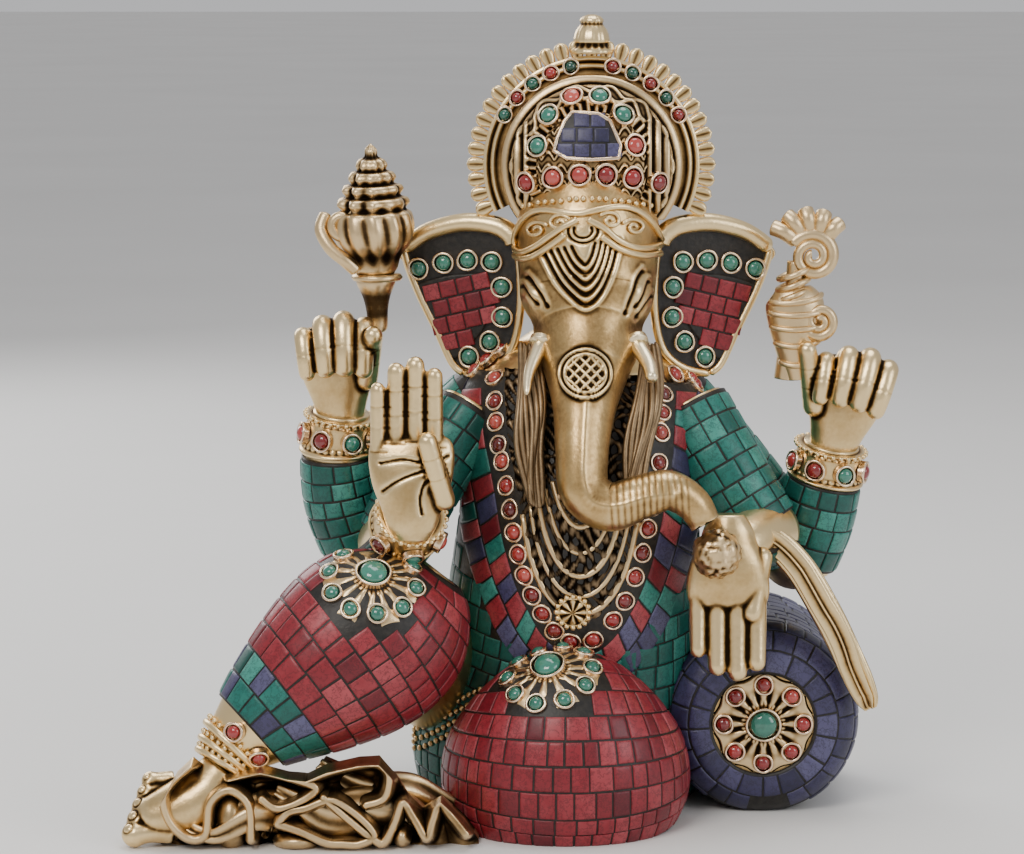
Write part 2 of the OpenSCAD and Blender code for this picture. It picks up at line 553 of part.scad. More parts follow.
// A cuff is a sleeve round the forearm's end, from station c0 to the wrist, with a bead at each end.
CUFF_TO = 2.9;
CUFF_BEAD = 0.8;
module cuff(fore, ref, c0) color("#c9a866")
  sleeve(fore, ref, [
    [c0, cuff_t + CUFF_BEAD], [c0 + 0.12, cuff_t + CUFF_BEAD], [c0 + 0.17, cuff_t], [CUFF_TO - 0.17, cuff_t],
    [CUFF_TO - 0.12, cuff_t + CUFF_BEAD], [CUFF_TO, cuff_t + CUFF_BEAD], [CUFF_TO, 0.02], [2.5, 0.02],
      [c0, 0.02]
  ]);
// A closed band round a limb: its section is a loop of [station, distance from the limb's skin].
module sleeve(list, ref, section, sides = 14) {
  n = len(section);
  polyhedron(
    points = [for (q = section, k = [0:sides - 1]) skin(list, ref, q[0], 360 * k / sides, q[1])],
    faces = [for (i = [0:n - 1], k = [0:sides - 1])
      let (j = (i + 1) % n, m = (k + 1) % sides)
      each [[i * sides + m, i * sides + k, j * sides + k], [i * sides + m, j * sides + k, j * sides + m]]]);
}
module rear_right_cuff() cuff(REAR_RIGHT_FORE, FRONT, 2.1);
module rear_left_cuff() cuff(REAR_LEFT_FORE, FRONT, 2.05);
module front_right_cuff() cuff(FRONT_RIGHT_FORE, UP, 1.9);
// Stones round a cuff, between angles a0 and a1.
module cuff_gems(setting, fore, ref, s, a0, a1, count)
  for (k = [0:count - 1]) on_skin(fore, ref, s, a0 + (a1 - a0) * k / (count - 1),
    cuff_t + 0.15) gem(setting, stone_r * 1.15);
module all_cuff_gems(setting) {
  cuff_gems(setting, REAR_RIGHT_FORE, FRONT, 2.45, 20, 160, 4);
  cuff_gems(setting, REAR_LEFT_FORE, FRONT, 2.42, 20, 160, 4);
  cuff_gems(setting, FRONT_RIGHT_FORE, UP, 2.2, 215, 325, 3);
}
module cuff_bezels() color("#d8bd7c") all_cuff_gems(true);
module cuff_stones() color("#a83a32") all_cuff_gems(false);

// ---- Hands: drawn with the wrist at the origin, fingers along +Z and the palm facing -Y ----
// A finger of three joints, each bent towards the palm by its own angle.
module finger(r, lengths, bends, i = 0) {
  if (i < len(lengths))
    rotate([bends[i], 0, 0]) {
      hull() {
        sphere(r * (1 - 0.08 * i), $fn = 6);
        translate([0, 0, lengths[i]]) sphere(r * (0.94 - 0.08 * i), $fn = 6);
      }
      translate([0, 0, lengths[i]]) finger(r, lengths, bends, i + 1);
    }
}
FINGERS = [[-8.4, 19.6, 0.86, 4], [-3, 22, 1, 1.4], [2.6, 22.6, 1.05, -1.4], [8, 21, 0.98, -4.6]];  // x, z, size, lean
module hand(bends, thumb_at, thumb_lean, thumb_bend) {
  hull() {
    translate([0, 0, 1]) scale([1.25, 0.85, 1]) sphere(6, $fn = 12);
    for (x = [-7.2, 7.2]) translate([x, 0, 10]) scale([1, 0.95, 1.3]) sphere(4.4, $fn = 8);
    for (x = [-8, 8]) translate([x, 0.4, 20]) sphere(3.2, $fn = 8);
  }
  for (f = FINGERS) translate([f.x, 0, f.y]) rotate([0, -f[3], 0]) finger(2.7 * f.z,
    [8 * f.z, 7 * f.z, 5.4 * f.z], bends);
  translate(thumb_at) rotate([0, thumb_lean, 0]) finger(3.1, [7, 6, 4.5], thumb_bend);
}
RIGHT_WRIST = [-48, 6, 111.6];
LEFT_WRIST = [90.4, 6, 102.8];
module at_wrist(p, turn) translate(place(p)) scale(SCALE) rotate(turn) children();
module rear_right_hand() color("#d9bf86")
  difference() {
    at_wrist(RIGHT_WRIST, [4, -3, 0]) hand([62, 88, 30], [8, -3, 9], 12, [24, 10, 16]);
    limb(REAR_RIGHT_FORE, steps = 6, sides = 14);
  }
module rear_left_hand() color("#d9bf86")
  difference() {
    at_wrist(LEFT_WRIST, [4, 14, 0]) hand([62, 88, 30], [-8.6, -3, 9], -22, [18, 0, 0]);
    limb(REAR_LEFT_FORE, steps = 6, sides = 14);
  }
module front_right_hand_solid()
  at_wrist([-27, -36.4, 87.5], [-4, 0, 0]) scale([1.04, 1, 0.95]) hand([4, 3, 2], [9, -2, 7], -14,
    [16, -4, 0]);
module front_right_hand() color("#e2ca93")
  difference() {
    front_right_hand_solid();
    limb(FRONT_RIGHT_FORE, UP, from = 1.9, to = CUFF_TO, steps = 2, sides = 14, off = cuff_t + CUFF_BEAD);
    limb(FRONT_RIGHT_FORE, UP, steps = 6, sides = 14);
    right_leg_solid();
  }
module front_left_hand() color("#e2ca93")
  difference() {
    at_wrist([59, -24, 82], [176, 0, 0]) scale([1.02, 1, 0.86]) hand([-3, -2, -2], [9, -1, 8], -8,
      [-8, 0, 0]);
    limb(FRONT_LEFT_FORE, UP, steps = 6, sides = 14);
    bolster_solid();
    figure() translate([55.5, -31.4, 77.5]) sphere(7.12, $fn = 24);
  }
module sweet() color("#cdb47c") figure() translate([55.5, -31.4, 77.5]) sphere(7);

// ---- What the hands hold ----
module conch() color("#9c7f4e")
  difference() {
    figure() translate([-37.5, 2, 140]) rotate([0, -2, 0]) {
      rotate_extrude($fn = 16)
        polygon([[0, -8], [2.6, -7], [3.6, 0], [5.4, 8], [6.2, 12], [7.4, 15.6], [10.4, 19], [11.2, 23],
          [10.6, 27.4], [9.2, 28.6],
                 [9.6, 30.4], [7.6, 32.2], [8, 34], [5.8, 35.6], [6.2, 37.4], [3.8, 39.2], [4, 41],
                   [1.6, 43], [1.4, 45], [0, 46.6]]);
      translate([-9.6, -2.5, 24]) rotate([90, 0, 0]) scroll(5.6, 1.6, 5);
    }
    at_wrist(RIGHT_WRIST, [4, -3, 0]) hand([62, 88, 30], [8, -3, 9], 12, [24, 10, 16]);
  }
// A flat spiral band: outer radius r, band width w and thickness t.
module scroll(r, w, t) {
  function arm(u, inset) = let (a = 90 + 480 * u, e = (r - inset) * (1 - 0.72 * u)) [e * cos(a), e * sin(a)];
  linear_extrude(t) polygon(concat([for (u = [0:0.07:1]) arm(u, 0)], [for (u = [0.98:-0.07:0]) arm(u, w)]));
}
module axe() color("#9c7f4e")
  difference() {
    figure() translate([76, 2, 0]) {
      translate([0, 0, 120]) rotate([0, 4, 0]) cylinder(r1 = 3, r2 = 2.6, h = 34, $fn = 10);
      translate([7.5, 2.5, 155]) rotate([90, 0, 0]) scroll(7.2, 2.4, 5);
      translate([9, 0, 137]) rotate([90, 0, 0]) translate([0, 0, -2.5]) scroll(6.2, 2.2, 5);
      hull() {
        translate([-1, 0, 142]) sphere(3.2, $fn = 8);
        translate([4.6, 2, 122]) sphere(4.4, $fn = 8);
        translate([1, 1, 134]) sphere(5.6, $fn = 8);
      }
      for (k = [0:3]) translate([1 + 4.6 * k, 0, 162.4 - 0.9 * k * k]) sphere(3.4, $fn = 8);
    }
    at_wrist(LEFT_WRIST, [4, 14, 0]) hand([62, 88, 30], [-8.6, -3, 9], -22, [18, 0, 0]);
    ear_frame(1) translate([-5, -40, -8]) cube([40 * SCALE.x, 60, 16]);
  }

// ---- Legs ----
module right_leg_solid() {
  limb(RIGHT_SHIN, from = 1, steps = 12, sides = 18);
  limb(RIGHT_THIGH, UP, steps = 6, sides = 14);
}
module right_leg() color("#c9a866")
  difference() {
    right_leg_solid();
    torso_solid();
    left_leg_solid();
  }
// The front right forearm together with its cuff.
WRAPPED_FORE = [for (q = FRONT_RIGHT_FORE) [q.x, q.y, q.z, q[3] + cuff_t + 1, q[4] + cuff_t + 1]];
// Cells of a course that lie clear of the rosette centred on station s0 and angle a0.
function clear_cells(list, ref, cells, s0, a0, gap) = [for (c = cells)
  let (p = ring_point(list, ref, (c[0] + c[1]) / 2, (c[2] + c[3]) / 2)) if (norm(p - ring_point(list, ref,
    s0, a0)) > gap) c];
module right_leg_chips() color("#a3303a") {
  cells = clear_cells(RIGHT_SHIN, FRONT, courses(RIGHT_SHIN, FRONT, 1.6, 6, -25, 205), KNEE[0][0], KNEE[0][1],
                      rosette_r + chip * 0.8);
  chips(RIGHT_SHIN, FRONT, free(RIGHT_SHIN, FRONT, cells,
    concat([FRONT_RIGHT_UPPER, WRAPPED_FORE, RIGHT_THIGH], FOLDS)));
}
module left_leg_solid(grow = 0) grounded() limb(LEFT_KNEE, steps = 12, sides = 20, off = grow);
module left_leg() color("#c9a866")
  difference() {
    left_leg_solid();
    torso_solid();
  }
module left_leg_chips() color("#a3303a") {
  cells = clear_cells(LEFT_KNEE, FRONT, courses(LEFT_KNEE, FRONT, 0.75, 6, -12, 192), KNEE[1][0], KNEE[1][1],
                      rosette_r + chip * 0.8);
  chips(LEFT_KNEE, FRONT, free(LEFT_KNEE, FRONT, cells, FOLDS));
}
module ankle_rings() color("#b7965a")
  difference() {
    for (s = [0.56, 0.82, 1.08]) limb(RIGHT_SHIN, from = s - 0.09, to = s + 0.09, steps = 1, sides = 12,
      off = s > 1 ? 1 : 0.6);
    limb(RIGHT_SHIN, from = 1, steps = 12, sides = 18);
    right_foot();
  }
module right_foot() color("#cfb177") grounded() {
  figure() {
    hull() {
      translate([-80, -41, 17]) sphere(6.5, $fn = 12);
      translate([-84, -42, 8]) sphere(8, $fn = 12);
      translate([-94, -43, 7]) sphere(6.6, $fn = 12);
    }
    for (k = [0:4])
      hull() {
        translate([-93, -46 + 2.2 * k, 4.6 + 2.9 * k]) sphere(3.4 - 0.15 * k, $fn = 8);
        translate([-102.6 + 0.9 * k, -48 + 2.4 * k, 3.4 + 3.1 * k]) sphere(3.1 - 0.2 * k, $fn = 8);
      }
    for (k = [0:1]) hull() { translate([-90, -42, 8]) sphere(5 - k,
      $fn = 8); translate([-97, -43 - k, 9]) sphere(4, $fn = 8); }
  }
}

// ---- Bolster ----
module bolster_solid(grow = 0) {
  r = bolster_r + grow;
  f = bolster_round;
  p = place(BOLSTER);
  translate([p.x, p.y, bolster_r]) rotate([-90, 0, 0])
    rotate_extrude($fn = 32)
      polygon(concat([[0, -grow]], [for (t = [0:30:90]) [r - f + f * sin(t), f - (f + grow) * cos(t)]],
                     [for (t = [0:30:90]) [r - f + f * cos(t), bolster_len - f + (f + grow) * sin(t)]],
                     [[0, bolster_len + grow]]));
}
module bolster() color("#c9a866") union() {
  difference() {
    bolster_solid();
    torso_solid();
    left_leg_solid();
    arm_solid(REAR_LEFT_UPPER, REAR_LEFT_FORE);
    p = place(BOLSTER);
    translate([p.x, p.y + wall, bolster_r]) rotate([-90, 0,
      0]) cylinder(r = bolster_r - wall - bolster_round / 2, h = bolster_len);
  }
}
module bolster_cap() color("#c9a866") {
  p = place(BOLSTER);
  translate([p.x, p.y + bolster_len - wall, bolster_r]) rotate([-90, 0, 0])
    cylinder(r = bolster_r - wall - bolster_round / 2 - plate_clear, h = wall);
}
// Rings of chips on the flat of the bolster's front face, round its rosette.
module bolster_chips() color("#3b3a5c") {
  flat = bolster_r - bolster_round;
  inner = rosette_r + 1.2;
  n = max(1, floor((flat - inner) / chip));
  for (k = [0:n - 1]) {
    r = inner + k * chip;
    m = floor(360 * r * PI / 180 / chip);
    for (j = [0:m - 1]) {
      t = 360 * (j + k / 2) / m;
      if (min([for (e = [r, r + chip]) off_limb(place(BOLSTER) + [e * cos(t), -bed - chip_t,
        bolster_r + e * sin(t)], LEFT_KNEE)]) > 2.5)
        on_bolster_face() rotate(t) translate([r, -(chip - joint) / 2, bed]) cube([chip - joint,
          chip - joint, chip_t]);
    }
  }
  // Courses of chips along the bolster's barrel, 0 degrees being outward and 90 the top.
  p = place(BOLSTER);
  rows = floor((bolster_len - 2 * bolster_round) / chip);
  m = floor(2 * PI * bolster_r / chip);
  for (i = [0:rows - 1], j = [0:m - 1]) {
    a = 360 * (j + (i % 2) / 2) / m - 180;
    y = p.y + bolster_round + i * chip;
    at = [p.x + (bolster_r + bed) * cos(a), y + chip / 2, bolster_r + (bolster_r + bed) * sin(a)];
    if (a > -46 && a < 100 && off_torso(at) > chip && min([for (o = concat(ARMS, [SCARF])) off_limb(at,
      o)]) > chip * 0.8)
      translate([p.x, y, bolster_r]) rotate([0, -a, 0])
        translate([bolster_r + bed, joint / 2, -(chip - joint) / 2]) cube([chip_t, chip - joint,
          chip - joint]);
  }
}

// ---- Rosettes: one large stone with a ring of smaller ones ----
KNEE_RING = 10;    // stones in a knee's ring
BOLSTER_RING = 8;  // stones in the bolster's ring
CENTRE_R = 4.2;    // radius of the large stone
function ring_r() = rosette_r - stone_r - bezel_wire;
KNEE = [[5.1, 130], [5.1, 105]];  // rosettes of the right and the left knee: station and angle
// part: "bezel", "centre" or "ring".
module rosette_middle(part) {
  if (part == "bezel") bezel(CENTRE_R, 1.9);
  if (part == "centre") cabochon(CENTRE_R, 3);
}
module rosette_stone(part) {
  if (part == "bezel") bezel();
  if (part == "ring") cabochon();
}
module rosette_flat(part) {
  rosette_middle(part);
  for (k = [0:BOLSTER_RING - 1]) rotate(360 * k / BOLSTER_RING) translate([ring_r(), 0,
    0]) rosette_stone(part);
}
// The place on a limb's skin that lies nearest to p: [distance, station, angle].
function nearest(list, ref, p) =
  let (spots = [for (s = [0.4:0.1:len(list) - 1.05])
         let (q = spine(list, s), d = spine(list, s + 0.02) - spine(list, s - 0.02),
           t = unit([d.x, d.y, d.z]),
              side = unit(cross(t, ref)), fore = cross(side, t), r = p - place([q.x, q.y, q.z]),
              a = atan2(r * fore / q[4], r * side / q[3]))
         [norm(ring_point(list, ref, s, a) - p), s, a]],
       best = min([for (c = spots) c[0]]))
  [for (c = spots) if (c[0] == best) c][0];
// The ring's stones lie on the skin; the ones that the forearm's cuff would cover are left out.
module rosette_on(list, ref, s, a, part) {
  p = skin(list, ref, s, a);
  n = normal(list, ref, s, a);
  u = unit(cross(UP, n));
  sunk = ring_r() * ring_r() / 50;
  on_skin(list, ref, s, a, 0.2) rosette_middle(part);
  for (k = [0:KNEE_RING - 1]) {
    t = 360 * k / KNEE_RING - 90;
    at = nearest(list, ref, p + ring_r() * (cos(t) * u + sin(t) * cross(n, u)) - sunk * n);
    if (off_limb(skin(list, ref, at[1], at[2]), WRAPPED_FORE) > 2 * stone_r + bezel_wire)
      on_skin(list, ref, at[1], at[2], 0.2) rosette_stone(part);
  }
}
module on_bolster_face() {
  p = place(BOLSTER);
  translate([p.x, p.y, bolster_r]) rotate([90, 0, 0]) children();
}
module rosettes(part, bolster_part) {
  if (bolster_part != "") on_bolster_face() rosette_flat(bolster_part);
  if (part != "") {
    rosette_on(RIGHT_SHIN, FRONT, KNEE[0][0], KNEE[0][1], part);
    rosette_on(LEFT_KNEE, FRONT, KNEE[1][0], KNEE[1][1], part);
  }
}
module rosette_settings() color("#d8bd7c") rosettes("bezel", "bezel");
module rosette_red_stones() color("#a83a32") rosettes("", "ring");
module rosette_green_stones() color("#1d6a52") {
  rosettes("centre", "centre");
  rosettes("ring", "");
}

// ---- Cloth, cast in brass ----
module scarf_solid() limb(SCARF, UP, steps = 9, sides = 12);
module scarf() color("#cfb177")
  difference() {
    scarf_solid();
    bolster_solid();
    arm_solid(FRONT_LEFT_UPPER, FRONT_LEFT_FORE, UP);
    arm_solid(REAR_LEFT_UPPER, REAR_LEFT_FORE);
    at_wrist([59, -24, 82], [176, 0, 0]) scale([1.02, 1, 0.86]) hand([-3, -2, -2], [9, -1, 8], -8,
      [-8, 0, 0]);
  }
// Folds of the dhoti that spill over the foot and along the front of the seat.
FOLDS = [
  [[-86, -44, 14, 3, 3], [-88, -46, 7, 4, 4], [-80, -49, 4, 4.4, 4], [-71, -48, 9, 5.4, 6],
    [-64, -44, 9, 5, 7], [-58, -42, 5, 4, 5]],
  [[-66, -44, 16, 3, 3], [-58, -44, 12, 5, 5], [-50, -44, 8, 6, 7], [-40, -43, 9, 6, 8],
    [-30, -41, 8, 6, 7], [-22, -38, 4, 3.6, 4]],
  [[-54, -36, 22, 3, 3], [-46, -38, 17, 5, 5], [-36, -38, 14, 6, 6], [-28, -36, 13, 5, 6],
    [-20, -33, 9, 4, 5], [-12, -30, 5, 3, 4]]
];
module folds() for (f = FOLDS) limb(f, UP, steps = 8, sides = 10);
module drapery() color("#b7965a")
  difference() {
    folds();
    right_leg_solid();
    left_leg_solid(bed + chip_t + joint);
    figure() hull() {
      translate([-80, -41, 17]) sphere(6.5, $fn = 12);
      translate([-84, -42, 8]) sphere(8, $fn = 12);
      translate([-94, -43, 7]) sphere(6.6, $fn = 12);
    }
    translate([-200, -200, -50]) cube([400, 400, 50]);
  }

base_plate();
torso_casting();
torso_chips();
border_chips();
collar_bezels();
collar_stones();
throat_bands();
pendant();
hair_locks();
head_casting();
brow_band();
right_tusk();
left_tusk();
crown_dome();
crown_halo();
crown_finial();
crown_bezels();
crown_stones();
crown_plaque();
right_ear();
left_ear();
right_ear_chips();
left_ear_chips();
ear_bezels();
ear_stones();
rear_right_arm();
rear_right_chips();
rear_right_cuff();
rear_right_hand();
conch();
rear_left_arm();
rear_left_chips();
rear_left_cuff();
rear_left_hand();
axe();
front_right_arm();
front_right_chips();
front_right_cuff();
front_right_hand();
front_left_arm();
front_left_chips();
front_left_hand();
sweet();
scarf();
cuff_bezels();
cuff_stones();
right_leg();
right_leg_chips();
ankle_rings();
right_foot();
left_leg();
left_leg_chips();
bolster();
bolster_cap();
bolster_chips();
rosette_settings();
rosette_red_stones();
rosette_green_stones();
drapery();
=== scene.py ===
"""Looks of the seated elephant-headed idol: antique brass castings with stone chips and round cabochons.

Shapes are drawn in figure millimetres, the coordinates that the CAD model is drawn in. CENTRE moves them to
the model's own origin. -Y is the front and +Z is up. A limb is a list of stations
[x, y, z, half width, half depth] with a smooth skin, and a place on it is a station number and an angle:
0 degrees is the viewer's right side and 90 degrees is the front.
"""

import math

import bmesh
import bpy
import numpy as np
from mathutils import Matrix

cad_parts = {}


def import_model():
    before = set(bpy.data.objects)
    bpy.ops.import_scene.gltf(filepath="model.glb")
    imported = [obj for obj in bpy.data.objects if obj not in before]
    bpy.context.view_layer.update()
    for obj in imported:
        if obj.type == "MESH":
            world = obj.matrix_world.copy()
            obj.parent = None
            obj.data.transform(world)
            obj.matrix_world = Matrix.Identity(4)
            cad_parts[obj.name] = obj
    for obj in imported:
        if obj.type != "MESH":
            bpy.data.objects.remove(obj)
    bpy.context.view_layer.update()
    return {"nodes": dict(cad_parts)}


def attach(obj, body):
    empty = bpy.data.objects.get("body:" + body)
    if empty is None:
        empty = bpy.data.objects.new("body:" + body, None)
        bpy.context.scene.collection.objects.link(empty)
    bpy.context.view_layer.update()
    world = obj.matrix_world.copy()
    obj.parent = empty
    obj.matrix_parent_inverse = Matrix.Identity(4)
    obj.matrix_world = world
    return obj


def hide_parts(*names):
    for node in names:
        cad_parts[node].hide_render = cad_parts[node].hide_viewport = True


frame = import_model()

MM = 0.001
CENTRE = np.array([0.6, -1.9, 0.0])
FRONT = np.array([0.0, -1.0, 0.0])
UP = np.array([0.0, 0.0, 1.0])
ROUND = (-90, 270)     # all the way round a limb, from the back
TUBE_SEAM = np.array([0.13, -1.0, 0.31])     # which way a cord's first corner faces
RNG = np.random.default_rng(7)

# ---- Sizes, as the CAD model has them -------------------------------------------------------------------
CHIP = 6.0
JOINT = 0.5
LAC_TOP = 1.2          # lac stands this far off the casting
CHIP_TOP = 1.5         # chips are ground flush a little above the lac
STONE_R = 2.2
BEZEL_WIRE = 0.7
MIDLINE = 21.0
CROWN = np.array([22.0, 6.0, 180.5])
DOME_R = 25.5
DOME_FRONT = 20.0
DOME_BACK = 17.0
HALO_BAND = 4.5
HALO_T = 3.0
BOLSTER = np.array([70.0, -12.0, 26.0])
BOLSTER_R = 26.0
BOLSTER_LEN = 62.0
BOLSTER_ROUND = 9.0
NECKLINE = (18.5, 123.0, 23.0, 65.0)         # the collar's half ellipse: middle x and z, half sizes
COLLAR_EDGE = STONE_R + BEZEL_WIRE + 0.4
BIB_ROWS = (COLLAR_EDGE, COLLAR_EDGE + CHIP, COLLAR_EDGE + 2 * CHIP)
COLLAR_PITCH = 6.3
CROWN_STONE_R = 2.5
CENTRE_R = 4.2         # rosettes: middle stone, ring of stones, plate
RING_R = 11.1
DISC_R = 14.2
ROSETTE_CLEAR = 14.8   # chips stay this far from a rosette's middle
CUFF_END = 2.9         # station where every cuff ends
HALO_START = -26.0     # the halo's arc in degrees
HALO_END = 206.0
HALO_PETALS = 31
HALO_INNER = DOME_R - 4.8
EAR_MIDDLE = np.array([14.0, -12.0])
EAR_ROOT = np.array([18.8, 5.0, 158.0])      # from the midline to an ear's root
EAR_LEAN = math.radians(14)
EAR_CHIP = 4.9
SWEET = np.array([55.5, -31.4, 77.5])
SWEET_R = 6.7
FOOT_LIMIT = np.array([-105.4, -53.8, 0.0])  # the foot's skin keeps within the model's box

TORSO = [[14, 18, -14, 35, 27], [14, 18, 0, 38, 29], [14, 17, 12, 41, 31], [15, 15, 28, 40, 31],
         [17, 11, 46, 36, 30], [18, 7, 64, 34, 31], [19, 5, 82, 32.5, 30], [20, 7, 100, 33, 27],
         [20, 9, 113, 34, 22], [20.5, 10, 123, 28, 17.5], [21, 10, 134, 14, 12]]
HEAD = [[21, 8, 183, 9, 10], [21, 5, 176, 16, 17], [21, 3, 166, 19.5, 20.5], [21, 1, 155, 19.5, 21],
        [21, -2, 144, 18.2, 20], [20.8, -8, 134, 15.5, 16], [20.3, -17, 125, 11.5, 11.5],
        [19.6, -25, 116, 8.6, 8.6], [18.9, -31, 105, 7.2, 7.2], [19.6, -34, 95.5, 6.9, 6.9],
        [26, -35.5, 91, 6.6, 6.6], [34, -36, 93.5, 6.1, 6.1], [42, -35.5, 95.5, 5.5, 5.5],
        [48.5, -35, 92, 4.9, 4.9], [52, -34.5, 86.5, 4.3, 4.3]]
RIGHT_SHIN = [[-80, -41, 19, 5, 5], [-76, -39, 25, 8.5, 8.5], [-66, -36, 34, 14.5, 13.5],
              [-54, -33, 43, 20.5, 18], [-42, -30, 51.5, 24, 20], [-32, -27, 58.5, 22.5, 19],
              [-24, -24, 66, 15, 13], [-20, -23, 71, 5, 5]]
RIGHT_THIGH = [[-32, -34, 58, 9, 9], [-32, -24, 55, 18, 18], [-28, -8, 47, 17, 19], [-22, 8, 38, 15, 18],
               [-12, 20, 30, 12, 15]]
LEFT_KNEE = [[14.8, -18, -1, 28, 26], [14.8, -19, 7, 32, 28], [14.8, -20, 15, 33, 28.6],
             [14.8, -20, 24, 31, 27], [14.8, -19, 32, 26, 24], [14.8, -17, 38.6, 19, 19],
             [14.8, -15, 43, 11, 12], [14.8, -14, 44.8, 4, 5]]
REAR_RIGHT_UPPER = [[-4, 14, 114, 12, 11], [-22, 15, 99, 10.5, 10.5], [-36, 14, 83, 10, 10],
                    [-43, 13, 75, 9.6, 9.6]]
REAR_RIGHT_FORE = [[-43, 13, 71, 9.4, 9.4], [-47, 12, 84, 10.2, 10.2], [-49, 10, 98, 9.3, 9.3],
                   [-48, 8, 111, 7.8, 7.8]]
REAR_LEFT_UPPER = [[42, 14, 114, 12, 11], [58, 16, 98, 10.5, 10.5], [72, 16, 81, 10, 10],
                   [80, 15, 71, 9.8, 9.8]]
REAR_LEFT_FORE = [[81, 14, 67, 9.6, 9.6], [85, 12, 79, 10.2, 10.2], [88, 10, 91, 9.2, 9.2],
                  [90, 8, 102, 7.8, 7.8]]
FRONT_RIGHT_UPPER = [[-11, 4, 112, 9.5, 10], [-21, -2, 98, 9.5, 9.5], [-29, -6, 85, 9.5, 9],
                     [-33, -7, 77, 9, 8.5]]
FRONT_RIGHT_FORE = [[-34, -7, 76, 9, 9], [-32, -16, 79, 9, 9], [-29, -26, 84, 8.4, 8.4],
                    [-27, -33, 89, 7.6, 7.6]]
FRONT_LEFT_UPPER = [[49, 4, 113, 10.5, 10], [56, 0, 101, 10.5, 10], [64, -3, 88, 10, 9.5],
                    [70, -5, 79, 9.5, 9]]
FRONT_LEFT_FORE = [[71, -5, 79, 9.4, 9.4], [68, -11, 79, 8.8, 8.6], [64, -17, 78, 8, 7.4],
                   [60, -21, 76, 7.4, 6.6]]
SCARF = [[62, -17, 78, 3, 2.5], [70, -15, 79, 6, 3], [79, -14, 71, 8, 3.2], [87, -14, 58, 7.4, 3.2],
         [93, -14, 46, 6.2, 3], [98, -15, 35, 4, 2.6], [99.5, -15.5, 31, 1.5, 1.5]]
KNEE_ROSETTES = ((RIGHT_SHIN, 5.1, 130), (LEFT_KNEE, 5.1, 105))


# ---- Limbs ----------------------------------------------------------------------------------------------
def unit(v):
    return v / np.maximum(np.linalg.norm(v, axis=-1, keepdims=True), 1e-9)


def spine(stations, s):
    """The smooth curve through the stations, at station numbers s."""
    st = np.asarray(stations, float)
    s = np.asarray(s, float)
    n = len(st) - 1
    i = np.clip(np.floor(s).astype(int), 0, n - 1)
    t = (s - i)[..., None]
    a = st[np.maximum(i - 1, 0)]
    b = st[i]
    c = st[i + 1]
    d = st[np.minimum(i + 2, n)]
    return 0.5 * (2 * b + (c - a) * t + (2 * a - 5 * b + 4 * c - d) * t ** 2
                  + (3 * b - a - 3 * c + d) * t ** 3)


def ring_point(stations, ref, s, a):
    """On the limb's section at station s and angle a; ref sets where 90 degrees is."""
    s, a = np.broadcast_arrays(np.asarray(s, float), np.radians(np.asarray(a, float)))
    q = spine(stations, s)
    t = unit((spine(stations, s + 0.02) - spine(stations, s - 0.02))[..., :3])
    side = unit(np.cross(t, ref))
    fore = np.cross(side, t)
    wide = np.maximum(q[..., 3:4], 0.3) * np.cos(a)[..., None] * side
    deep = np.maximum(q[..., 4:5], 0.3) * np.sin(a)[..., None] * fore
    return q[..., :3] + wide + deep


def normal(stations, ref, s, a):
    """The skin's outward direction."""
    s, a = np.broadcast_arrays(np.asarray(s, float), np.asarray(a, float))
    along = ring_point(stations, ref, s + 0.03, a) - ring_point(stations, ref, s - 0.03, a)
    across = ring_point(stations, ref, s, a + 3) - ring_point(stations, ref, s, a - 3)
    return unit(np.cross(along, across))


def skin(stations, ref, s, a, off=0.0):
    """A point off millimetres above the limb's skin."""
    off = np.asarray(off, float)
    return ring_point(stations, ref, s, a) + off[..., None] * normal(stations, ref, s, a)


def torso_place(x, z):
    """A point (x, z) of the torso's front as station and angle."""
    s = np.interp(z, [q[2] for q in TORSO], range(len(TORSO)))
    q = spine(TORSO, s)
    return s, np.degrees(np.arccos(np.clip((x - q[..., 0]) / q[..., 3], -0.98, 0.98)))


def drawn(p):
    """Where points fall on the drawing plane: the front seen from 8 degrees above."""
    lean = math.radians(8)
    return np.stack([p[..., 0], p[..., 2] * math.cos(lean) + (p[..., 1] + 50) * math.sin(lean)], -1)


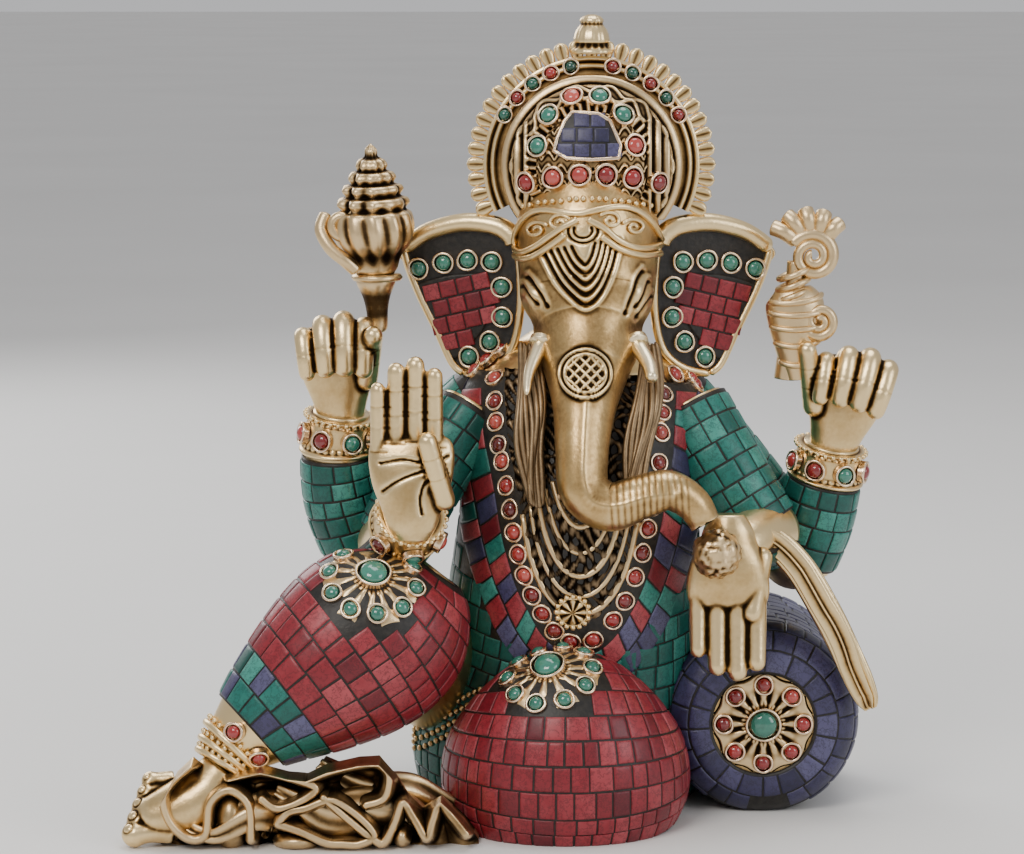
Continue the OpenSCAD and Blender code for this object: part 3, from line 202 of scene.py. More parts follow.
# ---- Meshes ---------------------------------------------------------------------------------------------
class Shape:
    """Points and faces gathered from several parts, with a tint for each point."""

    def __init__(self):
        self.points = []
        self.quads = []
        self.tris = []
        self.tints = []
        self.count = 0

    def add(self, points, quads=(), tris=(), tint=0.5):
        points = np.asarray(points, float).reshape(-1, 3)
        if len(quads):
            self.quads.append(np.asarray(quads) + self.count)
        if len(tris):
            self.tris.append(np.asarray(tris) + self.count)
        self.points.append(points)
        self.tints.append(np.full(len(points), tint))
        self.count += len(points)

    def grid(self, p, wrap=False, caps=False, tint=0.5):
        """Quads over p[row, column]; wrap joins the last column to the first, caps closes the ends."""
        rows, cols = p.shape[:2]
        i = np.arange(rows - 1)[:, None] * cols
        j = np.arange(cols if wrap else cols - 1)[None, :]
        k = (j + 1) % cols
        quads = np.stack([i + j, i + k, i + cols + k, i + cols + j], -1).reshape(-1, 4)
        points = p.reshape(-1, 3)
        tris = []
        if caps:
            ends = np.stack([p[0].mean(0), p[-1].mean(0)])
            first = len(points)
            points = np.concatenate([points, ends])
            last = (rows - 1) * cols
            for j0 in range(cols):
                j1 = (j0 + 1) % cols
                tris.append((j1, j0, first))
                tris.append((last + j0, last + j1, first + 1))
        self.add(points, quads, np.array(tris, int).reshape(-1, 3), tint)

    def tube(self, path, radius, sides, flat=1.0):
        """A round cord along path, with closed ends; radius may be a list with one value for each point."""
        path = np.asarray(path, float)
        t = unit(np.gradient(path, axis=0))
        side = unit(np.cross(t, TUBE_SEAM))
        fore = np.cross(side, t)
        a = np.arange(sides) * 2 * np.pi / sides
        r = np.broadcast_to(np.asarray(radius, float), len(path))[:, None, None]
        p = path[:, None] + r * (np.cos(a)[None, :, None] * side[:, None]
                                 + flat * np.sin(a)[None, :, None] * fore[:, None])
        self.grid(p, wrap=True, caps=True)

    def ball(self, centre, radius, sides):
        u = np.linspace(0.04, np.pi - 0.04, sides // 2 + 1)[:, None]
        v = np.arange(sides)[None, :] * 2 * np.pi / sides
        p = np.stack([np.sin(u) * np.cos(v), np.sin(u) * np.sin(v), -np.cos(u) + 0 * v], -1)
        self.grid(np.asarray(centre) + radius * p, wrap=True, caps=True)


def smooth_path(points, count):
    """A smooth curve of count points through the given points."""
    pts = [list(p) for p in points]
    return spine(pts, np.linspace(0, len(pts) - 1, count))


def mesh_object(name, shape, material):
    """A smooth mesh from the shape, with nothing below the ground and its faces turned outward."""
    points = np.concatenate(shape.points)
    points[:, 2] = np.maximum(points[:, 2], 0.0)
    points = (points - CENTRE) * MM
    quads = np.concatenate(shape.quads) if shape.quads else np.zeros((0, 4), int)
    tris = np.concatenate(shape.tris) if shape.tris else np.zeros((0, 3), int)
    mesh = bpy.data.meshes.new(name)
    mesh.vertices.add(len(points))
    mesh.vertices.foreach_set("co", points.ravel())
    mesh.loops.add(quads.size + tris.size)
    mesh.loops.foreach_set("vertex_index", np.concatenate([quads.ravel(), tris.ravel()]).astype(np.int32))
    starts = np.concatenate([np.arange(len(quads)) * 4, quads.size + np.arange(len(tris)) * 3])
    mesh.polygons.add(len(starts))
    mesh.polygons.foreach_set("loop_start", starts.astype(np.int32))
    mesh.polygons.foreach_set("use_smooth", np.ones(len(starts), bool))
    mesh.update(calc_edges=True)
    outward = bmesh.new()
    outward.from_mesh(mesh)
    bmesh.ops.recalc_face_normals(outward, faces=outward.faces[:])
    outward.to_mesh(mesh)
    outward.free()
    mesh.attributes.new("tint", "FLOAT", "POINT").data.foreach_set("value", np.concatenate(shape.tints))
    mesh.materials.append(material)
    obj = bpy.data.objects.new(name, mesh)
    bpy.context.scene.collection.objects.link(obj)
    return obj


def mesh_points(obj):
    """Vertex positions in figure millimetres, and normals."""
    n = len(obj.data.vertices)
    co = np.zeros(n * 3)
    obj.data.vertices.foreach_get("co", co)
    no = np.zeros(n * 3)
    obj.data.vertices.foreach_get("normal", no)
    return co.reshape(-1, 3) / MM + CENTRE, no.reshape(-1, 3)


def set_points(obj, points):
    obj.data.vertices.foreach_set("co", ((points - CENTRE) * MM).ravel())
    obj.data.update()


def neighbours(obj):
    edges = np.zeros(len(obj.data.edges) * 2, np.int32)
    obj.data.edges.foreach_get("vertices", edges)
    return edges.reshape(-1, 2)


def relax(values, edges, steps, keep=0.0):
    """Each value moves towards the mean of its neighbours, several times over."""
    n = len(values)
    a = np.concatenate([edges[:, 0], edges[:, 1]])
    b = np.concatenate([edges[:, 1], edges[:, 0]])
    degree = np.maximum(np.bincount(a, minlength=n), 1)
    out = values.copy()
    for _ in range(steps):
        mean = np.stack([np.bincount(a, weights=out[b, k], minlength=n) / degree
                         for k in range(out.shape[1])], 1)
        out = keep * out + (1 - keep) * mean
    return out


def patina_and_shade(obj, fine=2.4, broad=0.9, steps=(2, 24), bias=0.0):
    """Writes "relief" on the points: low in hollows, where dark patina stays and painted shade is laid, and high
    on rubbed ridges.
    """
    p, n = mesh_points(obj)
    edges = neighbours(obj)
    near = relax(p, edges, steps[0])
    far = relax(near, edges, steps[1])
    # the fine term is the patina in small hollows; the broad term is painted shade that darkens the wider
    # hollows
    hollow_and_shade = fine * ((near - p) * n).sum(1) * 6 + broad * ((far - p) * n).sum(1)
    level = 1 / (1 + np.exp(3.2 * hollow_and_shade))
    smooth = relax(level[:, None], edges, 1, 0.5)[:, 0] + bias
    attribute = obj.data.attributes.get("relief") or obj.data.attributes.new("relief", "FLOAT", "POINT")
    attribute.data.foreach_set("value", np.clip(smooth, 0, 1))


def finish(obj, slot, nodes, metal=True, **values):
    """The piece's patina and painted shade, the CAD nodes it stands for, and its body; slot is not used."""
    if metal:
        # lays the patina and the painted shade on the piece's "relief" attribute
        patina_and_shade(obj, **values)
    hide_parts(*nodes)
    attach(obj, "root")
    return obj


def add_piece(name, shape, material, slot, *nodes, **values):
    """A metal piece whose patina and painted shade follow its own relief."""
    return finish(mesh_object(name, shape, material), slot, nodes, **values)


def add_plain(name, shape, material, *nodes):
    """A piece of stone or lac; its material's name without Blender's number goes to finish as the slot. It has
    no patina and no painted shade.
    """
    return finish(mesh_object(name, shape, material), material.name.split(".")[0], nodes, metal=False)


def add_bezels(name, shape, *nodes):
    # short steps keep the patina and the painted shade close to the wire's own curves
    return add_piece(name, shape, WIRE, "bezel_wire", *nodes, steps=(1, 6))


# ---- Relief drawn on surfaces ---------------------------------------------------------------------------
def line_distance(xy, line):
    """Distance of points xy from a polyline."""
    best = np.full(len(xy), 1e9)
    line = np.asarray(line, float)
    for a, b in zip(line[:-1], line[1:]):
        ab = b - a
        t = np.clip(((xy - a) @ ab) / max(ab @ ab, 1e-9), 0, 1)
        best = np.minimum(best, np.linalg.norm(xy - a - t[:, None] * ab, axis=1))
    return best


def stroke(xy, line, height, width):
    """A raised (or, with a negative height, cut) line with a rounded section."""
    return height * np.exp(-(line_distance(xy, line) / width) ** 2)


def curve2(points, count=40):
    return smooth_path([list(p) for p in points], count)


def swell(x, at, width, height):
    """A rounded ridge of the given height, where x is near at."""
    return height * np.exp(-((x - at) / width) ** 2)


# ---- Materials ------------------------------------------------------------------------------------------
class Paint:
    """A node material being put together."""

    def __init__(self, name, **sockets):
        self.material = bpy.data.materials.new(name)
        self.material.use_nodes = True
        self.nodes = self.material.node_tree.nodes
        self.links = self.material.node_tree.links
        self.shader = self.nodes["Principled BSDF"]
        for socket, value in sockets.items():
            self.shader.inputs[socket.replace("_", " ").title().replace("Ior", "IOR")].default_value = value

    def node(self, kind, **values):
        node = self.nodes.new("ShaderNode" + kind)
        for key, value in values.items():
            setattr(node, key, value)
        return node

    def join(self, source, target):
        self.links.new(source, target)
        return target

    def attribute(self, name):
        return self.node("Attribute", attribute_name=name).outputs["Fac"]

    def noise(self, scale, detail=4.0, roughness=0.55):
        place = self.node("TexCoord").outputs["Object"]
        noise = self.node("TexNoise")
        noise.inputs["Scale"].default_value = scale
        noise.inputs["Detail"].default_value = detail
        noise.inputs["Roughness"].default_value = roughness
        self.join(place, noise.inputs["Vector"])
        return noise.outputs["Fac"]

    def maths(self, operation, a, b):
        node = self.node("Math", operation=operation)
        for socket, value in zip(node.inputs, (a, b)):
            if isinstance(value, (int, float)):
                socket.default_value = value
            else:
                self.join(value, socket)
        return node.outputs[0]

    def ramp(self, fac, stops):
        node = self.node("ValToRGB")
        elements = node.color_ramp.elements
        while len(elements) < len(stops):
            elements.new(0.5)
        for element, (at, colour) in zip(elements, stops):
            element.position = at
            element.color = (*colour, 1.0) if len(colour) == 3 else colour
        self.join(fac, node.inputs["Fac"])
        return node.outputs["Color"]

    def grey_ramp(self, fac, stops):
        return self.ramp(fac, [(at, (v, v, v)) for at, v in stops])

    def bump(self, height, strength, distance):
        node = self.node("Bump")
        node.inputs["Strength"].default_value = strength
        node.inputs["Distance"].default_value = distance
        self.join(height, node.inputs["Height"])
        return node

    def set(self, socket, source):
        self.join(source, self.shader.inputs[socket])


def brass(name, dark, mid, light, bright, roughness=(0.62, 0.3), lift=0.0):
    """Antique brass: dark patina and painted shade in the hollows, rubbed metal on the ridges."""
    paint = Paint(name, metallic=1.0)
    # relief is low in hollows: it carries the patina and the painted shade laid there
    relief = paint.attribute("relief")
    stain = paint.noise(130.0, 6.0)
    speck = paint.noise(900.0, 3.0)
    level = paint.maths("ADD", relief, paint.maths("MULTIPLY", paint.maths("SUBTRACT", stain, 0.5), 0.35))
    level = paint.maths("ADD", level, paint.maths("MULTIPLY", paint.maths("SUBTRACT", speck, 0.5), 0.16))
    if lift:
        level = paint.maths("ADD", level, lift)
    paint.set("Base Color", paint.ramp(level, [(0.12, dark), (0.36, mid), (0.55, light), (0.85, bright)]))
    paint.set("Roughness", paint.grey_ramp(level, [(0.15, roughness[0]), (0.6, roughness[1])]))
    bump = paint.bump(speck, 0.25, 0.00025)
    broad = paint.bump(stain, 0.25, 0.0006)
    paint.join(bump.outputs["Normal"], broad.inputs["Normal"])
    paint.set("Normal", broad.outputs["Normal"])
    return paint.material


def cast_brass():
    """Plain cast brass for the closing plates, which are seen only from below and behind."""
    paint = Paint("cast_brass", metallic=1.0)
    stain = paint.noise(110.0, 6.0)
    paint.set("Base Color",
              paint.ramp(stain, [(0.3, (0.12, 0.08, 0.04)), (0.55, (0.42, 0.3, 0.17)),
                                 (0.8, (0.6, 0.46, 0.28))]))
    paint.set("Roughness", paint.grey_ramp(stain, [(0.3, 0.62), (0.7, 0.4)]))
    paint.set("Normal", paint.bump(paint.noise(900.0, 3.0), 0.25, 0.0003).outputs["Normal"])
    return paint.material


def stone(name, deep, body, pale, vein):
    """Polished stone chips, each with its own tint, clouded and lightly veined."""
    paint = Paint(name, roughness=0.42, coat_weight=0.15, coat_roughness=0.25, specular_ior_level=0.35)
    tint = paint.attribute("tint")
    cloud = paint.noise(260.0, 5.0)
    level = paint.maths("ADD", tint, paint.maths("MULTIPLY", paint.maths("SUBTRACT", cloud, 0.5), 0.5))
    colour = paint.ramp(level, [(0.05, deep), (0.5, body), (0.95, pale)])
    cracks = paint.noise(420.0, 8.0, 0.7)
    mask = paint.grey_ramp(cracks, [(0.47, 0.0), (0.5, 0.75), (0.53, 0.0)])
    mix = paint.node("Mix", data_type="RGBA")
    paint.join(mask, mix.inputs["Factor"])
    paint.join(colour, mix.inputs[6])
    mix.inputs[7].default_value = (*vein, 1.0)
    paint.set("Base Color", mix.outputs[2])
    bump = paint.bump(paint.noise(700.0, 4.0), 0.2, 0.0003)
    paint.set("Normal", bump.outputs["Normal"])
    return paint.material


def gem_paint(name, deep, body, pale):
    """Glossy domed stones, a little uneven in colour."""
    paint = Paint(name, roughness=0.12, coat_weight=0.8, coat_roughness=0.05)
    tint = paint.attribute("tint")
    cloud = paint.noise(500.0, 3.0)
    level = paint.maths("ADD", tint, paint.maths("MULTIPLY", paint.maths("SUBTRACT", cloud, 0.5), 0.5))
    paint.set("Base Color", paint.ramp(level, [(0.1, deep), (0.5, body), (0.95, pale)]))
    bump = paint.bump(paint.noise(350.0, 2.0), 0.15, 0.0005)
    paint.set("Normal", bump.outputs["Normal"])
    return paint.material


def lac_paint():
    paint = Paint("black_lac", roughness=0.45, specular_ior_level=0.4)
    grain = paint.noise(700.0, 5.0)
    paint.set("Base Color", paint.ramp(grain, [(0.3, (0.004, 0.0035, 0.003)), (0.7, (0.022, 0.018, 0.014))]))
    paint.set("Normal", paint.bump(grain, 0.4, 0.0004).outputs["Normal"])
    return paint.material


BRASS = brass("polished_brass", (0.014, 0.008, 0.0035), (0.17, 0.098, 0.036), (0.55, 0.365, 0.155),
              (0.86, 0.65, 0.34))
AGED = brass("aged_brass", (0.01, 0.006, 0.003), (0.075, 0.044, 0.019), (0.33, 0.215, 0.098),
             (0.72, 0.53, 0.29),
             roughness=(0.7, 0.34))
WIRE = brass("bezel_wire", (0.05, 0.024, 0.014), (0.34, 0.2, 0.12), (0.66, 0.45, 0.28), (0.88, 0.67, 0.46),
             roughness=(0.5, 0.24), lift=0.12)
IVORY = brass("worn_brass", (0.1, 0.065, 0.03), (0.5, 0.36, 0.18), (0.85, 0.69, 0.42), (0.95, 0.8, 0.52),
              lift=0.15)
DARK = brass("dark_brass", (0.006, 0.004, 0.0025), (0.028, 0.018, 0.01), (0.1, 0.066, 0.036),
             (0.34, 0.24, 0.14),
             roughness=(0.75, 0.45), lift=-0.26)
CAST = cast_brass()
CORAL = stone("coral_stone", (0.1, 0.006, 0.012), (0.22, 0.014, 0.022), (0.36, 0.06, 0.07),
              vein=(0.05, 0.004, 0.007))
TURQUOISE = stone("turquoise_stone", (0.003, 0.06, 0.048), (0.008, 0.125, 0.1), (0.05, 0.25, 0.2),
                  vein=(0.004, 0.04, 0.034))
LAPIS = stone("lapis_stone", (0.015, 0.014, 0.042), (0.042, 0.038, 0.095), (0.09, 0.085, 0.17),
              vein=(0.014, 0.012, 0.02))
RED = gem_paint("red_cabochon", (0.1, 0.004, 0.005), (0.3, 0.018, 0.018), (0.5, 0.08, 0.06))
GREEN = gem_paint("green_cabochon", (0.001, 0.02, 0.014), (0.004, 0.085, 0.055), (0.05, 0.24, 0.17))
LAC = lac_paint()
SLOTS = {"coral_stone": CORAL, "turquoise_stone": TURQUOISE, "lapis_stone": LAPIS}


# ---- Castings -------------------------------------------------------------------------------------------
def limb_grid(stations, ref, rows, cols, s0=0.0, s1=None, off=0.0, a0=0.0, a1=360.0, wrap=True):
    last = len(stations) - 1 if s1 is None else s1
    s = np.linspace(s0, last, rows)[:, None]
    a = (a0 + (a1 - a0) * np.arange(cols) / (cols if wrap else cols - 1))[None, :]
    return skin(stations, ref, s, a, np.full((rows, cols), off))


def limb_shape(shape, stations, ref, rows, cols, **where):
    shape.grid(limb_grid(stations, ref, rows, cols, **where), wrap=True, caps=True)


def torso():
    """The trunk of the body; its underside is raised a little over the closing plate."""
    shape = Shape()
    limb_shape(shape, TORSO, FRONT, 150, 180, s0=0.8)
    obj = mesh_object("torso_casting_skin", shape, BRASS)
    p, _ = mesh_points(obj)
    under = (p[:, 2] < 0.1) & (np.hypot((p[:, 0] - 14) / 34, (p[:, 1] - 18) / 25) < 1)
    p[under, 2] = 0.8
    set_points(obj, p)
    finish(obj, "brass", ["torso_casting"])


def legs():
    shape = Shape()
    limb_shape(shape, RIGHT_SHIN, FRONT, 90, 96, s0=0.6)
    limb_shape(shape, RIGHT_THIGH, UP, 60, 64)
    add_piece("right_leg_skin", shape, BRASS, "brass", "right_leg")
    shape = Shape()
    limb_shape(shape, LEFT_KNEE, FRONT, 80, 120, s0=0.12)
    add_piece("left_leg_skin", shape, BRASS, "brass", "left_leg")


def arm(name, upper, fore, fore_ref=FRONT):
    """Upper arm and forearm, joined by a round elbow."""
    shape = Shape()
    limb_shape(shape, upper, FRONT, 50, 56)
    limb_shape(shape, fore, fore_ref, 50, 56)
    elbow = (spine(upper, 3) + spine(fore, 0)) / 2
    shape.ball(elbow[:3], elbow[3] * 1.02, 40)
    add_piece(name + "_skin", shape, BRASS, "brass", name)


# ---- Stone chips ----------------------------------------------------------------------------------------
def chip_grid(where, u0, u1, v0, v1, top_shift, inset_u, inset_v):
    """One chip over where(u, v, height): a bevelled slab that follows the skin, as a closed grid."""
    rim = [np.array([0.0, 0.25]), np.array([0.0, CHIP_TOP - 0.17]), np.array([0.05, CHIP_TOP - 0.04])]
    inner = np.linspace(0.14, 0.86, 5)
    u = np.concatenate([[r[0] for r in rim], inner, [1 - r[0] for r in rim[::-1]]])
    edge = np.concatenate([[r[1] for r in rim], np.full(5, CHIP_TOP), [r[1] for r in rim[::-1]]])
    height = np.minimum(edge[:, None], edge[None, :])
    uu = u0 + inset_u + (u1 - u0 - 2 * inset_u) * u
    vv = v0 + inset_v + (v1 - v0 - 2 * inset_v) * u
    slope = (u[:, None] - 0.5) * top_shift[0] + (u[None, :] - 0.5) * top_shift[1] + top_shift[2]
    return where(uu[:, None] + 0 * vv[None, :], vv[None, :] + 0 * uu[:, None],
                 height + np.where(height > 1, slope, 0))


def one_mm(*_):
    """For a place that is measured in millimetres already."""
    return 1.0


def lay_chips(shape, where, cells, per_u, per_v, tint):
    """Chips in the cells; per_u and per_v give millimetres per unit of u and v, tint a mean and a spread."""
    for u0, u1, v0, v1 in cells:
        shift = RNG.normal(0, 1, 3) * np.array([0.07, 0.07, 0.035])
        pu, pv = per_u((u0 + u1) / 2, (v0 + v1) / 2), per_v((u0 + u1) / 2, (v0 + v1) / 2)
        jitter = RNG.uniform(0.7, 1.35, 2)
        p = chip_grid(where, u0, u1, v0, v1, shift, JOINT / 2 * jitter[0] / pu, JOINT / 2 * jitter[1] / pv)
        shape.grid(p, tint=float(np.clip(RNG.normal(*tint), 0, 1)))


def courses(stations, ref, s0, s1, a0, a1, chip):
    """Cells [s0, s1, a0, a1] in courses like brickwork, with slightly uneven joints."""
    mid = (a0 + a1) / 2
    length = np.linalg.norm(ring_point(stations, ref, s1, mid) - ring_point(stations, ref, s0, mid))
    rows = max(1, round(float(length) / chip))
    cuts = s0 + (s1 - s0) * np.arange(rows + 1) / rows
    cells = []
    for lo, hi in zip(cuts[:-1], cuts[1:]):
        s = (lo + hi) / 2
        width = np.linalg.norm(ring_point(stations, ref, s, mid + 5) - ring_point(stations, ref, s,
                                                                                  mid - 5)) / 10
        count = max(2, round(float(width) * (a1 - a0) / chip))
        steps = RNG.uniform(0.78, 1.22, count)
        edges = a0 + (a1 - a0) * np.concatenate([[0], np.cumsum(steps)]) / steps.sum()
        cells += [[lo, hi, float(e), float(f)] for e, f in zip(edges[:-1], edges[1:])]
    return cells


def on_limb(stations, ref):
    """Functions that lay things on a limb's skin: position, and millimetres per station and per degree."""
    def where(s, a, h):
        return skin(stations, ref, s, a, h)

    def per_s(s, a):
        return float(np.linalg.norm(ring_point(stations, ref, s + 0.1, a) - ring_point(stations, ref,
                                                                                       s - 0.1, a))) / 0.2

    def per_a(s, a):
        return float(np.linalg.norm(ring_point(stations, ref, s, a + 4) - ring_point(stations, ref, s,
                                                                                     a - 4))) / 8
    return where, per_s, per_a


def lac_bed(shape, stations, ref, s0, s1, a0, a1, rows=60, cols=90):
    """A sheet of lac between two stations and two angles, with its edges turned down to the casting."""
    u = np.concatenate([[0, 0], np.linspace(0, 1, rows), [1, 1]])
    v = np.concatenate([[0, 0], np.linspace(0, 1, cols), [1, 1]])
    edge = np.concatenate([[0.0, 0.6], np.full(rows, 1.0), [0.6, 0.0]])
    side = np.concatenate([[0.0, 0.6], np.full(cols, 1.0), [0.6, 0.0]])
    h = LAC_TOP * np.minimum(edge[:, None], side[None, :]) - 0.05
    s = s0 + (s1 - s0) * u[:, None] + 0 * v[None, :]
    a = a0 + (a1 - a0) * v[None, :] + 0 * u[:, None]
    shape.grid(skin(stations, ref, s, a, h))


def clear_of(stations, ref, cells, spots):
    """Cells whose middle keeps away from the given spots (station, angle, distance)."""
    out = []
    for c in cells:
        p = ring_point(stations, ref, (c[0] + c[1]) / 2, (c[2] + c[3]) / 2)
        if all(np.linalg.norm(p - ring_point(stations, ref, s, a)) > r for s, a, r in spots):
            out.append(c)
    return out


def chip_patch(name, slot, nodes, patches, tint=(0.5, 0.2)):
    """One piece of chips over several limb patches: (stations, ref, cells)."""
    shape = Shape()
    for stations, ref, cells in patches:
        where, per_s, per_a = on_limb(stations, ref)
        lay_chips(shape, where, cells, per_s, per_a, tint)
    if shape.count:
        add_plain(name, shape, SLOTS[slot], *nodes)


def in_bib(x, z, grow):
    """True where a point lies within the neckline, grown by grow."""
    cx, cz, w, h = NECKLINE
    if z > cz:
        return abs(x - cx) < w + grow
    return ((x - cx) / (w + grow)) ** 2 + ((z - cz) / (h + grow)) ** 2 < 1


def torso_mosaic():
    cells = courses(TORSO, FRONT, 1.15, 8.6, *ROUND, 5.6)
    outside = []
    for c in cells:
        p = ring_point(TORSO, FRONT, (c[0] + c[1]) / 2, (c[2] + c[3]) / 2)
        front = math.sin(math.radians((c[2] + c[3]) / 2)) > 0
        if not (front and in_bib(p[0], p[2], BIB_ROWS[2] + 1.6)):
            outside.append(c)
    chip_patch("torso_turquoise_chips", "turquoise_stone", ["torso_chips"], [(TORSO, FRONT, outside)],
               (0.42, 0.2))


def bib_point(t, w, h):
    """On the torso, at angle t round the neckline's ellipse and w outside it."""
    cx, cz, half_w, half_h = NECKLINE
    x = cx + (half_w + w) * np.cos(np.radians(t))
    z = cz + (half_h + w) * np.sin(np.radians(t))
    s, a = torso_place(x, z)
    return skin(TORSO, FRONT, s, a, h)


def bib_mosaic():
    """Two rows of larger chips in three stones follow the collar."""
    groups = {"coral_stone": Shape(), "lapis_stone": Shape(), "turquoise_stone": Shape()}
    pattern = ("coral_stone", "lapis_stone", "coral_stone", "turquoise_stone")
    for row in range(2):
        lo, hi = BIB_ROWS[row], BIB_ROWS[row + 1]
        mid = (lo + hi) / 2
        t = 186.0 - 3 * row
        k = row
        while t < 353 + 3 * row:
            step = CHIP * RNG.uniform(0.92, 1.12)
            speed = float(np.linalg.norm(bib_point(t + 1.0, mid, 1.0) - bib_point(t, mid, 1.0)))
            t_next = t + step / speed
            name = pattern[k % len(pattern)]
            if row == 1 and name == "coral_stone" and RNG.uniform() < 0.35:
                name = "lapis_stone"
            lay_chips(groups[name], bib_point, [[t, t_next, lo, hi]], lambda u, v: speed, one_mm, (0.6, 0.2))
            t = t_next
            k += 1
    for name, shape in groups.items():
        add_plain("bib_" + name.split("_")[0] + "_chips", shape, SLOTS[name], "border_chips")


def leg_mosaic():
    s0, a0 = KNEE_ROSETTES[0][1:]
    cells = clear_of(RIGHT_SHIN, FRONT, courses(RIGHT_SHIN, FRONT, 1.62, 6.5, *ROUND, 5.8),
                     [(s0, a0, ROSETTE_CLEAR)])
    tail = [c for c in cells if c[1] < 2.6]
    red = [c for c in cells if c[1] >= 2.6]
    teal = [c for k, c in enumerate(tail) if k % 3 != 1]
    blue = [c for k, c in enumerate(tail) if k % 3 == 1]
    chip_patch("right_leg_coral_chips", "coral_stone", ["right_leg_chips"], [(RIGHT_SHIN, FRONT, red)])
    chip_patch("right_leg_turquoise_chips", "turquoise_stone", ["right_leg_chips"],
               [(RIGHT_SHIN, FRONT, teal)])
    chip_patch("right_leg_lapis_chips", "lapis_stone", ["right_leg_chips"], [(RIGHT_SHIN, FRONT, blue)],
               (0.75, 0.2))
    s0, a0 = KNEE_ROSETTES[1][1:]
    cells = clear_of(LEFT_KNEE, FRONT, courses(LEFT_KNEE, FRONT, 0.5, 6.6, -30, 210, 5.2),
                     [(s0, a0, ROSETTE_CLEAR)])
    chip_patch("left_leg_coral_chips", "coral_stone", ["left_leg_chips"], [(LEFT_KNEE, FRONT, cells)])


def sleeve_mosaic(name, upper_patch, fore_patch, fore_ref):
    """Chips on both halves of an arm, each given as its limb, stations and angles."""
    upper, u0, upper_a = upper_patch
    fore, f0, f1, fore_a = fore_patch
    patches = [(upper, FRONT, courses(upper, FRONT, u0, 2.8, *upper_a, 5.4)),
               (fore, fore_ref, courses(fore, fore_ref, f0, f1, *fore_a, 5.4))]
    chip_patch(name + "_turquoise", "turquoise_stone", [name], patches, (0.5, 0.22))


def lac_beds():
    shape = Shape()
    lac_bed(shape, TORSO, FRONT, 1.1, 8.75, *ROUND, rows=110, cols=180)
    lac_bed(shape, RIGHT_SHIN, FRONT, 1.6, 6.7, *ROUND)
    lac_bed(shape, LEFT_KNEE, FRONT, 0.45, 6.75, -32, 212)
    for upper, fore, ref, fore_a in ((REAR_RIGHT_UPPER, REAR_RIGHT_FORE, FRONT, ROUND),
                                     (REAR_LEFT_UPPER, REAR_LEFT_FORE, FRONT, ROUND),
                                     (FRONT_RIGHT_UPPER, FRONT_RIGHT_FORE, UP, (180, 350)),
                                     (FRONT_LEFT_UPPER, FRONT_LEFT_FORE, UP, (190, 350))):
        lac_bed(shape, upper, FRONT, 0.1, 2.85, *ROUND, rows=40, cols=60)
        lac_bed(shape, fore, ref, 0.2, 2.05, *fore_a, rows=40, cols=50)
    add_plain("lac_beds", shape, LAC)


# ---- Bolster --------------------------------------------------------------------------------------------
def bolster_profile():
    """Radius and distance from the front face, from the middle of the front to the middle of the back."""
    r, f, n = BOLSTER_R, BOLSTER_ROUND, 14
    t = np.linspace(0, np.pi / 2, n)
    front = np.stack([r - f + f * np.sin(t), f - f * np.cos(t)], 1)
    back = np.stack([r - f + f * np.cos(t), BOLSTER_LEN - f + f * np.sin(t)], 1)
    flat0 = np.stack([np.linspace(0.2, r - f, 16, endpoint=False), np.zeros(16)], 1)
    barrel = np.stack([np.full(20, r), np.linspace(f, BOLSTER_LEN - f, 22)[1:-1]], 1)
    rim = r - f + 0.6
    flat1 = np.array([[rim, BOLSTER_LEN], [rim - 0.1, BOLSTER_LEN - 0.8], [0.2, BOLSTER_LEN - 0.8]])
    return np.concatenate([flat0, front, barrel, back, flat1])


PROFILE = bolster_profile()
PROFILE_LENGTH = np.concatenate([[0], np.cumsum(np.linalg.norm(np.diff(PROFILE, axis=0), axis=1))])


def bolster_point(u, a, h=0.0):
    """On the bolster, u millimetres along the profile from the middle of its front and a degrees round it."""
    u, a, h = np.broadcast_arrays(u, a, h)
    r = np.interp(u, PROFILE_LENGTH, PROFILE[:, 0])
    y = np.interp(u, PROFILE_LENGTH, PROFILE[:, 1])
    dr = np.interp(u + 0.3, PROFILE_LENGTH, PROFILE[:, 0]) - np.interp(u - 0.3, PROFILE_LENGTH, PROFILE[:, 0])
    dy = np.interp(u + 0.3, PROFILE_LENGTH, PROFILE[:, 1]) - np.interp(u - 0.3, PROFILE_LENGTH, PROFILE[:, 1])
    size = np.maximum(np.hypot(dr, dy), 1e-6)
    r = r + h * dy / size
    y = y - h * dr / size
    a = np.radians(a)
    return BOLSTER + np.stack([r * np.cos(a), y, r * np.sin(a)], -1)


